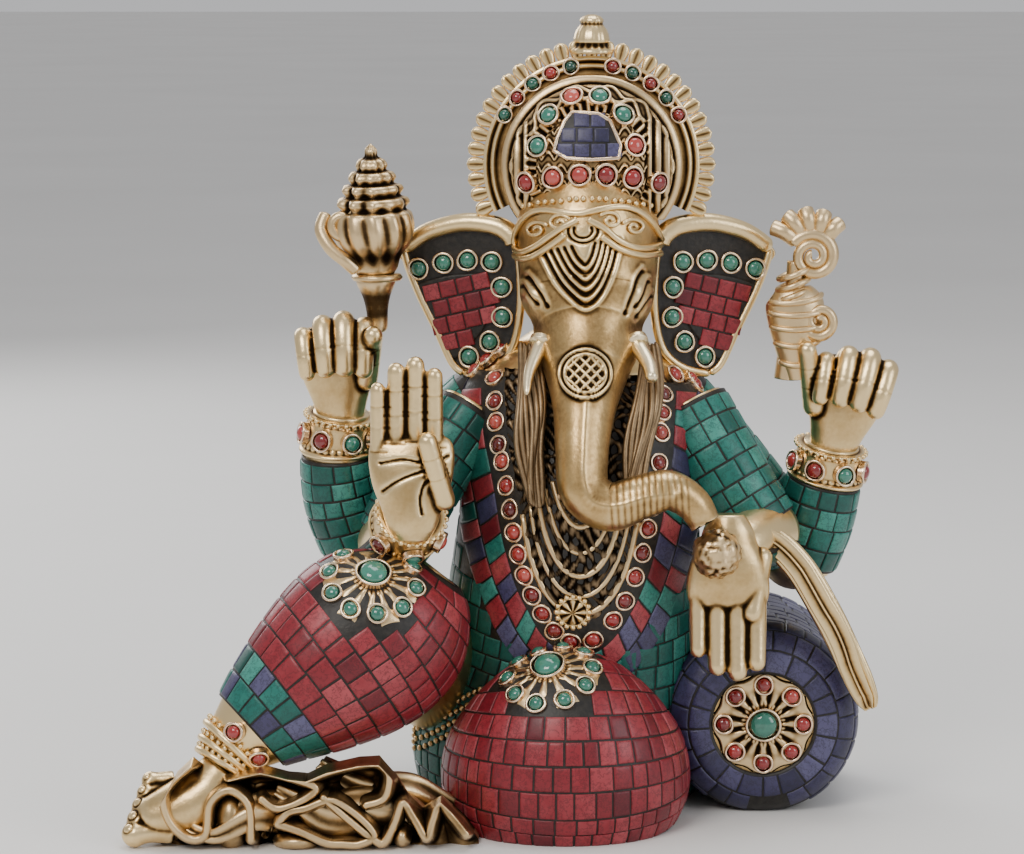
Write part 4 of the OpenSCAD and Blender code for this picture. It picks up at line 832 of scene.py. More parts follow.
def bolster():
    shape = Shape()
    u = np.linspace(0, PROFILE_LENGTH[-1], 110)[:, None]
    a = np.arange(120)[None, :] * 3.0
    shape.grid(bolster_point(u, a), wrap=True, caps=True)
    add_piece("bolster_skin", shape, BRASS, "brass", "bolster")
    chips = Shape()
    inner, outer = 14.6, PROFILE_LENGTH[-1] * 0.72
    rows = round((outer - inner) / 5.6)
    for k in range(rows):
        u0 = inner + (outer - inner) * k / rows
        u1 = inner + (outer - inner) * (k + 1) / rows
        r = float(np.interp((u0 + u1) / 2, PROFILE_LENGTH, PROFILE[:, 0]))
        count = round(2 * math.pi * r / 6.2)
        steps = RNG.uniform(0.75, 1.25, count)
        edges = RNG.uniform(0, 360) + 360 * np.concatenate([[0], np.cumsum(steps)]) / steps.sum()
        cells = [[u0, u1, e, f] for e, f in zip(edges[:-1], edges[1:])
                 if bolster_point((u0 + u1) / 2, (e + f) / 2, 1.0)[2] > 3.0]
        per_a = r * math.pi / 180
        lay_chips(chips, bolster_point, cells, one_mm, lambda u, v: per_a, (0.45, 0.2))
    add_plain("bolster_lapis_chips", chips, LAPIS, "bolster_chips")
    lac = Shape()
    u = np.concatenate([[inner - 0.6], np.linspace(inner - 0.6, outer + 0.6, 60), [outer + 0.6]])
    h = np.concatenate([[-0.05], np.full(60, LAC_TOP), [-0.05]])
    p = bolster_point(u[:, None] + 0 * a, a + 0 * u[:, None], h[:, None] + 0 * a)
    p[..., 2] = np.maximum(p[..., 2], 0.2)
    lac.grid(p, wrap=True)
    add_plain("bolster_lac", lac, LAC)


# ---- Round stones in wire bezels ------------------------------------------------------------------------
def basis(n):
    """Two directions across n, and n itself with length 1."""
    n = unit(np.asarray(n, float))
    helper = np.array([1.0, 0, 0]) if abs(n[2]) > 0.9 else UP
    u = unit(np.cross(helper, n))
    return u, np.cross(n, u), n


def gem(stones, wires, p, n, r=STONE_R, height=2.4, sides=26, tint=None):
    """A domed stone and the bezel round it: a wall with a rolled wire on top, and a dark ring between."""
    u, v, n = basis(n)
    a = np.arange(sides) * 2 * np.pi / sides
    wobble = 1 + 0.03 * np.sin(2 * a + RNG.uniform(0, 6)) + 0.02 * np.sin(3 * a + RNG.uniform(0, 6))

    def rings(profile, wave=1.0):
        return np.array([[p + h * n + q * w * (math.cos(t) * u + math.sin(t) * v) for t,
                          w in zip(a, wave * np.ones(sides))]
                         for q, h in profile])
    dome = [(0.86 * r, -0.3), (0.86 * r, height * 0.42)]
    dome += [(0.86 * r * math.cos(t), height * (0.42 + 0.56 * math.sin(t))) for t in np.radians([18, 34, 50,
                                                                                                 64, 78, 87])]
    stones.grid(rings(dome), wrap=True, caps=True,
                tint=float(np.clip(RNG.normal(0.5, 0.2), 0, 1)) if tint is None else tint)
    wall = BEZEL_WIRE
    outer = r + wall
    wire = [(outer, -0.35), (outer - 0.02, 0.85), (outer + 0.04, 1.2), (outer - 0.08, 1.5),
            (r + wall * 0.42, 1.6),
            (r + 0.02, 1.46), (r - 0.04, 1.1), (r - 0.02, 0.25)]
    wires.grid(rings(wire, wobble), wrap=True)


def collar():
    """Round stones along the neckline, and three on each shoulder."""
    stones, wires = Shape(), Shape()
    t = 184.0
    while t < 356.5:
        p = bib_point(t, 0.0, 0.1)
        s, a = torso_place(p[0], p[2])
        gem(stones, wires, p, normal(TORSO, FRONT, s, a))
        speed = float(np.linalg.norm(bib_point(t + 1.0, 0.0, 0.0) - bib_point(t, 0.0, 0.0)))
        t += COLLAR_PITCH / speed
    for x, z in ((-15.8, 123.5), (-10.4, 126.5), (-20.6, 120.0), (44.5, 122.5), (49.3, 121.4), (56.3, 119.8)):
        s, a = torso_place(x, z)
        p = skin(TORSO, FRONT, s, a, 0.6)
        gem(stones, wires, p, normal(TORSO, FRONT, s, a))
    add_plain("collar_red_stones", stones, RED, "collar_stones")
    add_bezels("collar_wire_bezels", wires, "collar_bezels")


def nearest(stations, ref, p):
    """Station and angle of the skin's place nearest to p."""
    s, a = np.meshgrid(np.arange(1.0, len(stations) - 1, 0.04), np.arange(-30.0, 230.0, 1.5), indexing="ij")
    k = np.argmin(np.linalg.norm(ring_point(stations, ref, s, a) - p, axis=-1))
    return s.ravel()[k], a.ravel()[k]


def rosettes():
    """The round flower of stones on each knee and on the bolster's end."""
    reds, greens, wires, grounds = Shape(), Shape(), Shape(), Shape()
    for knee, (stations, s0, a0) in enumerate(KNEE_ROSETTES):
        p, n = skin(stations, FRONT, s0, a0), normal(stations, FRONT, s0, a0)
        u, v, n = basis(n)
        gem(greens, wires, p + 1.3 * n, n, CENTRE_R, 3.0, 40, tint=0.85)
        for k in range(10):
            t = math.radians(36 * k - 90)
            target = p + RING_R * (math.cos(t) * u + math.sin(t) * v) - RING_R ** 2 / 50 * n
            if knee == 0 and np.linalg.norm(target - spine(FRONT_RIGHT_FORE, 1.6)[:3]) < 13.5:
                continue
            s, a = nearest(stations, FRONT, target)
            gem(greens, wires, skin(stations, FRONT, s, a, 0.8), normal(stations, FRONT, s, a), tint=0.7)

        where, per_s, per_a = on_limb(stations, FRONT)
        ks, ka = per_s(s0, a0), per_a(s0, a0)
        disc(grounds, lambda x, y, h: where(s0 + x / ks, a0 + y / ka, h), 1.1)
    middle = BOLSTER + np.array([0, -0.2, 0])
    gem(greens, wires, middle + np.array([0, -1.0, 0]), FRONT, CENTRE_R, 3.0, 40, tint=0.7)
    for k in range(8):
        t = math.radians(45 * k)
        gem(reds, wires, middle + RING_R * np.array([math.cos(t), 0, math.sin(t)]), FRONT)
    disc(grounds, lambda x, y, h: BOLSTER + np.stack([x, -h, y], -1), 1.0)
    add_plain("rosette_green_gems", greens, GREEN, "rosette_green_stones")
    add_plain("rosette_red_gems", reds, RED, "rosette_red_stones")
    add_bezels("rosette_wires", wires, "rosette_settings")
    add_piece("rosette_grounds", grounds, AGED, "aged_brass")


def disc(shape, where, height):
    """The filigree plate under a rosette: scalloped rim, petals between the stones, and a beaded ring."""
    r = np.linspace(0.02, 1, 44)[:, None] + np.zeros((1, 120))
    a = np.arange(120)[None, :] * 2 * np.pi / 120 + np.zeros((44, 1))
    edge = DISC_R * (1 + 0.05 * np.cos(8 * a))
    relief = 0.35 * np.cos(16 * a) * np.exp(-((r - 0.52) / 0.14) ** 2)
    relief = relief + 0.45 * np.exp(-((r - 0.4) / 0.05) ** 2) * (0.6 + 0.4 * np.cos(30 * a))
    relief = relief + 0.3 * np.cos(8 * a + np.pi) * np.exp(-((r - 0.86) / 0.12) ** 2)
    fall = np.where(r > 0.965, -1.0, 0.0)
    h = height + relief + fall * height
    shape.grid(where(edge * r * np.cos(a), edge * r * np.sin(a), h), wrap=True)


# ---- Head -----------------------------------------------------------------------------------------------
CHEVRON = np.array([[8.5, 161.0], [12.5, 153.5], [16.5, 149.0], [20.1, 146.8], [23.8, 149.5], [27.0, 156.0],
                    [29.2, 164.4]])
EYE_LINES = ([[4.6, 154.6], [6.6, 152.6], [8.4, 149.8], [9.4, 146.6]],
             [[3.4, 152.4], [5.4, 150.4], [7.0, 147.4]],
             [[35.6, 156.0], [33.4, 153.2], [32.0, 149.6], [31.1, 144.6]],
             [[37.2, 153.4], [35.2, 150.4], [33.8, 146.6]],
             [[38.2, 149.6], [36.4, 147.2], [35.0, 143.8]])


def head_relief(p):
    """Height of the lines and the emblem on the head's front, at points p."""
    xy = drawn(p)
    front = np.where(p[:, 1] < 4, 1.0, 0.0)
    h = np.zeros(len(p))
    middle = np.array([19.6, 163.0])
    for k in range(5):
        line = middle + (CHEVRON - middle) * (1 - 0.17 * k)
        h += stroke(xy, curve2(line), -1.0, 0.75)
        h += stroke(xy, curve2(middle + (CHEVRON - middle) * (1.08 - 0.17 * k)), 0.45, 0.7)
    for r in (4.2, 2.6):
        arc = [[19.2 + r * math.cos(t), 167.0 + 0.8 * r * math.sin(t)]
               for t in np.radians(np.linspace(160, 380, 15))]
        h += stroke(xy, arc, -0.7, 0.5)
    for line in EYE_LINES:
        h += stroke(xy, curve2(line), -0.9, 0.7)
        h += stroke(xy, curve2(np.array(line) + [0, 1.5]), 0.5, 0.8)
    for x, side in ((6.2, -1), (33.6, 1)):
        h += 1.6 * np.exp(-(((xy[:, 0] - x) / 3.2) ** 2 + ((xy[:, 1] - 150.5) / 3.6) ** 2))
        h -= 1.4 * np.exp(-(((xy[:, 0] - x - side * 2.4) / 4.0) ** 2 + ((xy[:, 1] - 141.5) / 3.4) ** 2))
    q = xy - np.array([19.8, 128.0])
    r = np.hypot(q[:, 0], q[:, 1] * 1.04)
    for ring in (6.8, 5.4):
        h += 0.85 * np.exp(-((r - ring) / 0.5) ** 2)
    lattice = np.maximum(np.cos((q[:, 0] + q[:, 1]) * 2.1), np.cos((q[:, 0] - q[:, 1]) * 2.1))
    h += np.where(r < 5.0, 0.75 * (np.clip(lattice, 0.25, 1) - 0.5), 0.0)
    ridge = curve2([[20.0, 120.0], [19.4, 110.0], [19.2, 100.0], [21.5, 93.8], [28.0, 92.6], [36.0, 94.6],
                    [43.0, 95.4]], 30)
    h += stroke(xy, ridge, 0.55, 1.3)
    for t in np.linspace(0.1, 0.95, 13):
        x, z = 24.0 + 24.5 * t, 92.0 + 3.2 * math.sin(3 * t)
        h += stroke(xy, [[x - 0.4, z + 6.5], [x + 0.5, z - 6.5]], -0.07, 0.5)
    return h * front


def head():
    shape = Shape()
    limb_shape(shape, HEAD, FRONT, 460, 380, s0=0.12)
    obj = mesh_object("head_skin", shape, BRASS)
    p, n = mesh_points(obj)
    h = head_relief(p)
    tip = spine(HEAD, 13.97)[:3] + np.array([0, -1.6, -1.0])
    hole = np.linalg.norm((p - tip) * [1, 0.8, 1], axis=1)
    h -= 3.2 * np.exp(-(hole / 2.3) ** 2)
    set_points(obj, p + h[:, None] * n)
    finish(obj, "brass", ["head_casting"], fine=2.2)
    tusks = Shape()
    for side, length, end in ((-1, 11.0, 0.7), (1, 7.0, 1.6)):
        root = np.array([MIDLINE + side * 13.0, -14.5, 133.0])
        tip = np.array([MIDLINE + side * 17, -25, 131 - length])
        path = smooth_path([root, (root + tip) / 2 + [side * 1.2, -0.6, -0.6], tip], 16)
        tusks.tube(path, np.linspace(2.5, end, 16) * np.r_[np.ones(14), 0.9, 0.55], 20)
        collar_line = smooth_path([root + [0, -1, 0.6]] * 2, 6)
        tusks.tube(collar_line + np.linspace(-0.8, 0.8, 6)[:, None] * unit(tip - root), 3.2, 20)
    add_piece("tusks", tusks, IVORY, "brass", "right_tusk", "left_tusk")


def on_head(x, h, lift):
    """The place on the head's front that is seen at the drawn point (x, h)."""
    s = np.linspace(1.0, 6.5, 140)[:, None]
    a = np.linspace(5, 175, 120)[None, :]
    p = ring_point(HEAD, FRONT, s, a).reshape(-1, 3)
    k = np.argmin(np.linalg.norm(drawn(p) - [x, h], axis=1))
    s = np.broadcast_to(s, (140, 120)).ravel()[k]
    a = np.broadcast_to(a, (140, 120)).ravel()[k]
    return skin(HEAD, FRONT, s, a, lift)


BROW_WIRES = ([[0.6, 164.0], [2.3, 168.9], [5.9, 172.6], [12.0, 172.4], [18.6, 171.0], [25.0, 173.0],
               [31.3, 173.6],
               [37.2, 170.6], [40.6, 165.6]],
              [[0.6, 163.6], [3.2, 161.6], [8.0, 163.4], [13.4, 167.4], [17.9, 169.8]],
              [[20.6, 169.8], [24.8, 167.4], [29.6, 163.8], [35.0, 162.4], [40.4, 164.0]],
              [[0.8, 161.4], [4.2, 159.6], [9.4, 161.8], [14.6, 166.0]],
              [[24.2, 165.2], [29.0, 161.9], [35.0, 160.4], [40.2, 161.6]])


def brow_band():
    shape = Shape()
    for line in BROW_WIRES:
        path = np.array([on_head(x, h, 0.8) for x, h in curve2(line, 30)])
        shape.tube(relax_path(path), 0.95, 12)
    for cx, cz, side in ((7.0, 167.4, -1), (33.0, 168.0, 1), (13.0, 169.0, -1), (26.6, 169.6, 1)):
        turn = [[cx + side * (0.5 + 2.9 * u) * math.cos(9 * u), cz + (0.4 + 2.2 * u) * math.sin(9 * u)]
                for u in np.linspace(0, 1, 30)]
        shape.tube(relax_path(np.array([on_head(x, h, 0.6) for x, h in turn])), 0.55, 8)
    for x in np.linspace(1.5, 39.5, 20):
        shape.ball(on_head(x, 175.4 - 0.004 * (x - 20.5) ** 2, 0.5), 0.85, 12)
    add_piece("brow_ornament", shape, BRASS, "brass", "brow_band")


def relax_path(path):
    for _ in range(4):
        path[1:-1] = (path[:-2] + 2 * path[1:-1] + path[2:]) / 4
    return path


# ---- Crown ----------------------------------------------------------------------------------------------
def dome_point(dx, dz, lift):
    """A point on the crown's front, lift above the metal at (dx, dz) from its centre, and the normal."""
    dx, dz = np.asarray(dx, float), np.asarray(dz, float)
    q = np.hypot(dx, dz) / DOME_R
    y = -DOME_FRONT * np.sqrt(np.maximum(0.0, 1 - q * q))
    n = unit(np.stack([dx / DOME_R ** 2, y / DOME_FRONT ** 2, dz / DOME_R ** 2], -1))
    return CROWN + np.stack([dx, y, dz], -1) + np.asarray(lift, float)[..., None] * n, n


def crown_relief(dx, dz):
    """Wavy swags, ribs and flutes of the dome; the middle, under the stones, is plain."""
    r = np.hypot(dx, dz)
    t = np.degrees(np.arctan2(dz, dx))
    outer = np.exp(-((r - 23.4) / 0.5) ** 2)
    h = 0.9 * np.exp(-((r - 24.4) / 0.5) ** 2) - 0.9 * outer
    swag = 19.9 + 1.0 * np.sin(np.radians(t * 14))
    h += 0.75 * np.exp(-((r - swag) / 0.55) ** 2)
    swag = 21.6 + 1.0 * np.sin(np.radians(t * 14 + 90))
    h += 0.6 * np.exp(-((r - swag) / 0.5) ** 2)
    ribs = 0.6 * np.cos(np.radians(t * 46))
    h += np.where((r > 15.6) & (r < 18.6), ribs, 0.0)
    petals = 0.55 * np.exp(-((np.abs(np.sin(dx * 0.9)) * 2.2 - np.mod(dz + 1.2, 3.4)) / 0.5) ** 2)
    h += np.where(r < 15.0, petals, 0.0)
    side = np.clip((np.abs(dx + 1.5) - 15.5) / 1.5, 0, 1) * np.clip((15 - dz) / 3, 0, 1)
    flutes = 0.7 * np.cos(dx * 2.4)
    h = np.where((side > 0) & (r < 22), h * (1 - side) + flutes * side, h)
    return h * np.where(dz < -15, 0.0, 1.0)


def crown_dome():
    shape = Shape()
    r = np.linspace(0.02, 1, 150)[:, None]
    t = np.linspace(0, 2 * np.pi, 361)[None, :-1]
    dx, dz = DOME_R * r * np.cos(t), DOME_R * r * np.sin(t)
    p, _ = dome_point(dx, dz, crown_relief(dx, dz) - 0.25)
    floor = 165.6 - CROWN[2]
    p[..., 2] = np.maximum(p[..., 2], CROWN[2] + floor)
    shape.grid(p, wrap=True)
    r = np.linspace(1, 0.02, 60)[:, None]
    dx, dz = DOME_R * r * np.cos(t), DOME_R * r * np.sin(t)
    y = DOME_BACK * np.sqrt(np.maximum(0, 1 - r * r)) + 0 * dx + 0.3 * np.cos(24 * t) * np.sin(np.pi * r)
    back = CROWN + np.stack([dx, y, np.maximum(dz, floor)], -1)
    shape.grid(back, wrap=True)
    add_piece("crown_dome_skin", shape, AGED, "brass", "crown_dome", fine=2.4)


def halo():
    shape = Shape()
    for front in (True, False):
        y = CROWN[1] - HALO_T / 2 if front else CROWN[1] + HALO_T / 2
        n = -1.0 if front else 1.0
        t = np.radians(np.linspace(HALO_START, HALO_END, 400))[None, :]
        r = np.linspace(0, 1, 26)[:, None]
        radius = HALO_INNER + (DOME_R + HALO_BAND - HALO_INNER) * r + 0 * t
        lift = swell(radius, 27.3, 0.55, 0.5) + swell(radius, 29.3, 0.4, 0.3)
        lift = lift + swell(radius, 28.4, 0.4, -0.35) - 0.2
        p = np.stack([radius * np.cos(t), n * lift, radius * np.sin(t)], -1) + [CROWN[0], y, CROWN[2]]
        shape.grid(p)
    t = np.radians(np.linspace(HALO_START, HALO_END, 400))
    for radius in (HALO_INNER, DOME_R + HALO_BAND):
        rim = np.stack([radius * np.cos(t), 0 * t, radius * np.sin(t)], -1) + CROWN
        shape.grid(np.stack([rim - [0, HALO_T / 2 - 0.2, 0], rim + [0, HALO_T / 2 - 0.2, 0]]))
    for k in range(HALO_PETALS):
        petal(shape, math.radians(HALO_START + (HALO_END - HALO_START) * (k + 0.5) / HALO_PETALS))
    add_piece("crown_halo_skin", shape, BRASS, "brass", "crown_halo", fine=2.2)


def petal(shape, angle):
    """A pointed petal with a groove down its middle, standing on the halo's rim."""
    u = np.linspace(0, 1, 12)[:, None]
    v = np.arange(16)[None, :] * 2 * np.pi / 16
    width = 2.15 * (0.62 + 0.9 * u) * np.sqrt(np.clip(1 - u ** 2.3, 0.001, 1))
    across = width * np.cos(v)
    depth = 1.35 * np.sin(v) * (1 - 0.35 * u) * (1 - 0.45 * np.exp(-(across / 0.5) ** 2))
    out = DOME_R + HALO_BAND - 0.6 + 5.2 * u + 0 * v
    side = np.array([-math.sin(angle), 0, math.cos(angle)])
    away = np.array([math.cos(angle), 0, math.sin(angle)])
    p = CROWN + out[..., None] * away + across[..., None] * side + depth[..., None] * np.array([0, 1.0, 0])
    shape.grid(p, wrap=True, caps=True)


def turned(shape, centre, profile, sides, flutes=0, cut=0.0):
    """A turned piece: profile lists radius and height, with shallow flutes round it if wanted."""
    profile = np.asarray(profile, float)
    t = np.arange(sides) * 2 * np.pi / sides
    wave = 1 + cut * np.cos(flutes * t)
    p = np.stack([profile[:, :1] * wave * np.cos(t), profile[:, :1] * wave * np.sin(t),
                  profile[:, 1:] + 0 * t], -1) + np.asarray(centre)
    shape.grid(p, wrap=True, caps=True)


def finial():
    shape = Shape()
    top = CROWN[2] + DOME_R + HALO_BAND + 0.6
    high = 222.0 - top
    outline = [[0.3, 0], [5.9, 0], [6.0, 0.05], [5.9, 0.1], [5.1, 0.16], [4.7, 0.22], [4.6, 0.27],
               [4.9, 0.31], [4.9, 0.38],
               [4.6, 0.5], [4.2, 0.6], [3.4, 0.7], [3.0, 0.75], [3.1, 0.79], [3.3, 0.84], [3.0, 0.89],
               [2.4, 0.94], [1, 0.99]]
    turned(shape, [CROWN[0], CROWN[1], top], [[r, h * high] for r, h in outline], 64, 16, 0.02)
    add_piece("finial_skin", shape, BRASS, "brass", "crown_finial")


PLAQUE = [[-10.4, 4.8], [-7, 2.9], [-0.6, 2.5], [6.8, 2.9], [7.4, 6.3], [4.6, 12.8], [1.4, 14.6], [-5.6, 15],
          [-7.6, 12.6],
          [-9.6, 8]]


def crown_gems():
    """The crown's round stones, the halo's, and the blue plaque over the brow."""
    reds, greens, wires = Shape(), Shape(), Shape()
    for k in np.arange(-2.5, 3):
        p, n = dome_point(k * 7.05, -1.4 - 0.4 * k * k, 0.1)
        gem(reds, wires, p, n, CROWN_STONE_R)
    for k, t in enumerate(np.radians(np.arange(8, 174, 33))):
        p, n = dome_point(-1.7 + 13 * math.cos(t), 4 + 15.5 * math.sin(t), 0.1)
        gem(reds if k in (0, 3) else greens, wires, p, n, CROWN_STONE_R, tint=None if k in (0, 3) else 0.75)
    for k, t in enumerate(range(12, 61, 12)):
        for side in (-1, 1):
            a = math.radians(90 + side * t)
            r = DOME_R + HALO_BAND / 2
            p = CROWN + np.array([r * math.cos(a), -HALO_T / 2, r * math.sin(a)])
            gem(greens if (k + (side > 0)) % 2 else reds, wires, p, FRONT, STONE_R * 0.8)
    add_plain("crown_red_gems", reds, RED, "crown_stones")
    add_plain("crown_green_gems", greens, GREEN, "crown_stones")
    add_bezels("crown_wire_bezels", wires, "crown_bezels")
    chips, lac = Shape(), Shape()
    outline = np.array(PLAQUE)

    def where(u, v, h):
        return dome_point(u, v, np.asarray(h, float) * 0.6)[0]
    for i in range(4):
        for j in range(3):
            u0, v0 = -9.6 + 4.4 * i + (j % 2) * 0.9, 3.0 + 4.0 * j
            if inside(outline, u0 + 2.2, v0 + 2.0):
                lay_chips(chips, where, [[u0, u0 + 4.4, v0, v0 + 4.0]], one_mm, one_mm, (0.4, 0.2))
    add_plain("crown_lapis_chips", chips, LAPIS, "crown_plaque")
    t = np.linspace(0, 1, 14)[:, None, None]
    middle = outline.mean(0)
    ring = np.array([outline[k] + (outline[(k + 1) % 10] - outline[k]) * f
                     for k in range(10) for f in (0, 0.34, 0.67)])
    flat = middle + (ring - middle)[None] * t
    lac.grid(dome_point(flat[..., 0], flat[..., 1], 0.55)[0], wrap=True)
    add_plain("crown_plaque_lac", lac, LAC)
    rim = Shape()
    closed = np.concatenate([ring, ring[:3]])
    rim.tube(dome_point(closed[:, 0], closed[:, 1], 0.5)[0], 0.6, 10)
    add_bezels("crown_plaque_rim", rim)


def inside(outline, x, y):
    """True where a point lies within a closed outline."""
    hit = False
    for (x0, y0), (x1, y1) in zip(outline, np.roll(outline, -1, 0)):
        if (y0 > y) != (y1 > y) and x < (x1 - x0) * (y - y0) / (y1 - y0) + x0:
            hit = not hit
    return hit


# ---- Ears -----------------------------------------------------------------------------------------------
EAR = [[0, 1], [1.5, 5], [7, 7.4], [17, 7.2], [27, 3.6], [35, -2], [33, -6.4], [30, -12.8], [25.4, -21.6],
       [20.4, -31.8],
       [16.4, -36.6], [8.6, -35], [3, -30.2], [0, -22.5], [-0.4, -10]]
EAR_FIELD = [[11, -8.8], [20, -9.6], [27.4, -11.8], [28.4, -13.6], [19.8, -30], [15.8, -27.6], [11.6, -23.6],
             [9, -18],
             [9, -13]]
EAR_ROW = [[29, -7], [21.8, -5.2], [14.8, -4.3], [7.8, -4.6], [5, -11.6], [4.8, -20], [8.4, -27],
           [14.4, -31.4]]
EAR_RIM = [[1, 0.5], [2.5, 3.2], [7, 5.6], [16, 6.2], [26, 3.6], [33.6, -1.4]]
EAR_EDGE = [[33.6, -1.4], [31.6, -8.0], [28.4, -15.4], [24.0, -24.0], [19.4, -33.4], [16.0, -36.2]]
EAR_HEM = [[1, 2], [-0.2, -8], [0, -20], [2.6, -29.4], [8.4, -34.4], [16.2, -36.4]]


def ear_at(side, q, lift):
    """A point of an ear from its own plane: x away from the head, y up, lift towards the front."""
    q = np.asarray(q, float)
    across = q[..., 0] * math.cos(EAR_LEAN) + lift * math.sin(EAR_LEAN)
    back = q[..., 0] * math.sin(EAR_LEAN) - lift * math.cos(EAR_LEAN)
    return np.stack([MIDLINE + side * (EAR_ROOT[0] + across), EAR_ROOT[1] + back, EAR_ROOT[2] + q[..., 1]],
                    -1)


def ears():
    """Each ear: a plate with rolled edges, a row of round stones, and a field of chips."""
    greens, wires, chips, lac = Shape(), Shape(), Shape(), Shape()
    edge = curve2(EAR + EAR[:1], 160)[:-1]
    field = np.array(EAR_FIELD)
    field_middle = field.mean(0)
    reach = field_middle + (field - field_middle) * 1.16
    for side, node in ((-1, "right_ear"), (1, "left_ear")):
        shape = Shape()
        r = np.concatenate([np.linspace(0.02, 1, 50), [1.0]])[:, None, None]
        flat = EAR_MIDDLE + (edge - EAR_MIDDLE)[None] * r
        bulge = 0.5 * np.sin(4 * flat[..., 0] / 9) * np.sin(flat[...,
                                                                 1] / 5) * np.exp(-((r[...,
                                                                                       0] - 0.6) / 0.4) ** 2)
        lift = np.where(np.arange(51)[:, None] == 50, -3.0, 0.1 * bulge)
        shape.grid(ear_at(side, flat, lift), wrap=True)
        r = np.linspace(1, 0.02, 40)[:, None, None]
        flat = EAR_MIDDLE + (edge - EAR_MIDDLE)[None] * r
        lift = -3.0 - 0.15 * np.cos(flat[..., 0] * 0.5) * np.sin(np.pi * r[..., 0])
        shape.grid(ear_at(side, flat, lift), wrap=True)
        rim = curve2(EAR_RIM, 50)
        shape.tube(ear_at(side, rim, 0.7), np.linspace(3.1, 2.3, 50) * end_taper(50), 22, flat=0.9)
        shape.tube(ear_at(side, curve2(EAR_EDGE, 40), 0.4), 1.15 * end_taper(40), 14)
        shape.tube(ear_at(side, curve2(EAR_HEM, 50), 0.5), 1.2 * end_taper(50), 14)
        add_piece(node + "_skin", shape, BRASS, "brass", node)
        for q in EAR_ROW:
            gem(greens, wires, ear_at(side, q, 0.2), ear_at(side, q, 1.0) - ear_at(side, q, 0),
                STONE_R * 1.1, tint=0.75)

        def where(u, v, h, side=side):
            x = u * math.cos(-EAR_LEAN) - v * math.sin(-EAR_LEAN)
            y = u * math.sin(-EAR_LEAN) + v * math.cos(-EAR_LEAN)
            return ear_at(side, np.stack([x, y], -1), np.asarray(h, float))
        for i in range(7):
            for j in range(8):
                u, v = 9 + i * EAR_CHIP + (j % 2) * 1.6, -34 + j * EAR_CHIP
                x, y = where(u + EAR_CHIP / 2, v + EAR_CHIP / 2, 0.0, 1)[[0, 2]] - [MIDLINE + EAR_ROOT[0],
                                                                                    EAR_ROOT[2]]
                if inside(reach, x / math.cos(EAR_LEAN), y):
                    lay_chips(chips, where, [[u, u + EAR_CHIP, v, v + EAR_CHIP]], one_mm, one_mm, (0.5, 0.2))
        rows = np.linspace(0.02, 0.93, 30)[:, None, None]
        flat = EAR_MIDDLE + (edge - EAR_MIDDLE)[None] * rows
        lac.grid(ear_at(side, flat, 0.35), wrap=True)
        grown = curve2(EAR_FIELD + EAR_FIELD[:1], 60)[:-1]
        middle = grown.mean(0)
        rows = np.concatenate([np.linspace(0.02, 1.12, 14), [1.12]])[:, None, None]
        lift = np.where(np.arange(15)[:, None] == 14, 0.0, 1.0) + 0 * grown[None, :, 0]
        lac.grid(ear_at(side, middle + (grown - middle)[None] * rows, lift), wrap=True)
    add_plain("ear_green_gems", greens, GREEN, "ear_stones")
    add_bezels("ear_wire_bezels", wires, "ear_bezels")
    add_plain("ear_coral_chips", chips, CORAL, "right_ear_chips", "left_ear_chips")
    add_plain("ear_lac", lac, LAC)


def end_taper(count):
    """Rounds the two ends of a cord."""
    u = np.linspace(0, 1, count)
    return np.sqrt(np.clip(np.minimum(u, 1 - u) * 18 + 0.15, 0, 1))


# ---- Hands ----------------------------------------------------------------------------------------------
def turn_matrix(degrees):
    x, y, z = np.radians(degrees)
    rx = np.array([[1, 0, 0], [0, math.cos(x), -math.sin(x)], [0, math.sin(x), math.cos(x)]])
    ry = np.array([[math.cos(y), 0, math.sin(y)], [0, 1, 0], [-math.sin(y), 0, math.cos(y)]])
    rz = np.array([[math.cos(z), -math.sin(z), 0], [math.sin(z), math.cos(z), 0], [0, 0, 1]])
    return rz @ ry @ rx


# Each finger's root across and along the palm, its scale, and its lean in degrees.
FINGERS = ((-8.4, 19.6, 0.86, 4), (-3, 22, 1, 1.4), (2.6, 22.6, 1.05, -1.4), (8, 21, 0.98, -4.6))
PALM = [[0, 0.2, -6, 4.2, 3.0], [0, 0, -2, 6.4, 4.5], [0, 0, 3, 7.8, 5.0], [0, 0.1, 10, 10.2, 5.0],
        [0, 0.3, 17, 11.2, 4.4], [0, 0.4, 22, 10.6, 3.2], [0, 0.4, 24, 8.5, 2.0]]
PALM_LINES = ([[-8, 16.5], [-2, 17.6], [5, 16.4], [9.5, 18.5]],
              [[9, 14.6], [3, 14.2], [-3, 11.8], [-7.4, 8.6]],
              [[9.4, 13.6], [4.2, 11.6], [2.4, 7], [2.8, 2.2]])


def finger_path(base, frame_matrix, lengths, bends):
    """Joints of a finger; each bone is bent towards the palm from the one before."""
    points = [np.asarray(base, float)]
    for length, bend in zip(lengths, bends):
        frame_matrix = frame_matrix @ turn_matrix((bend, 0, 0))
        points.append(points[-1] + frame_matrix @ np.array([0, 0, length]))
    return points


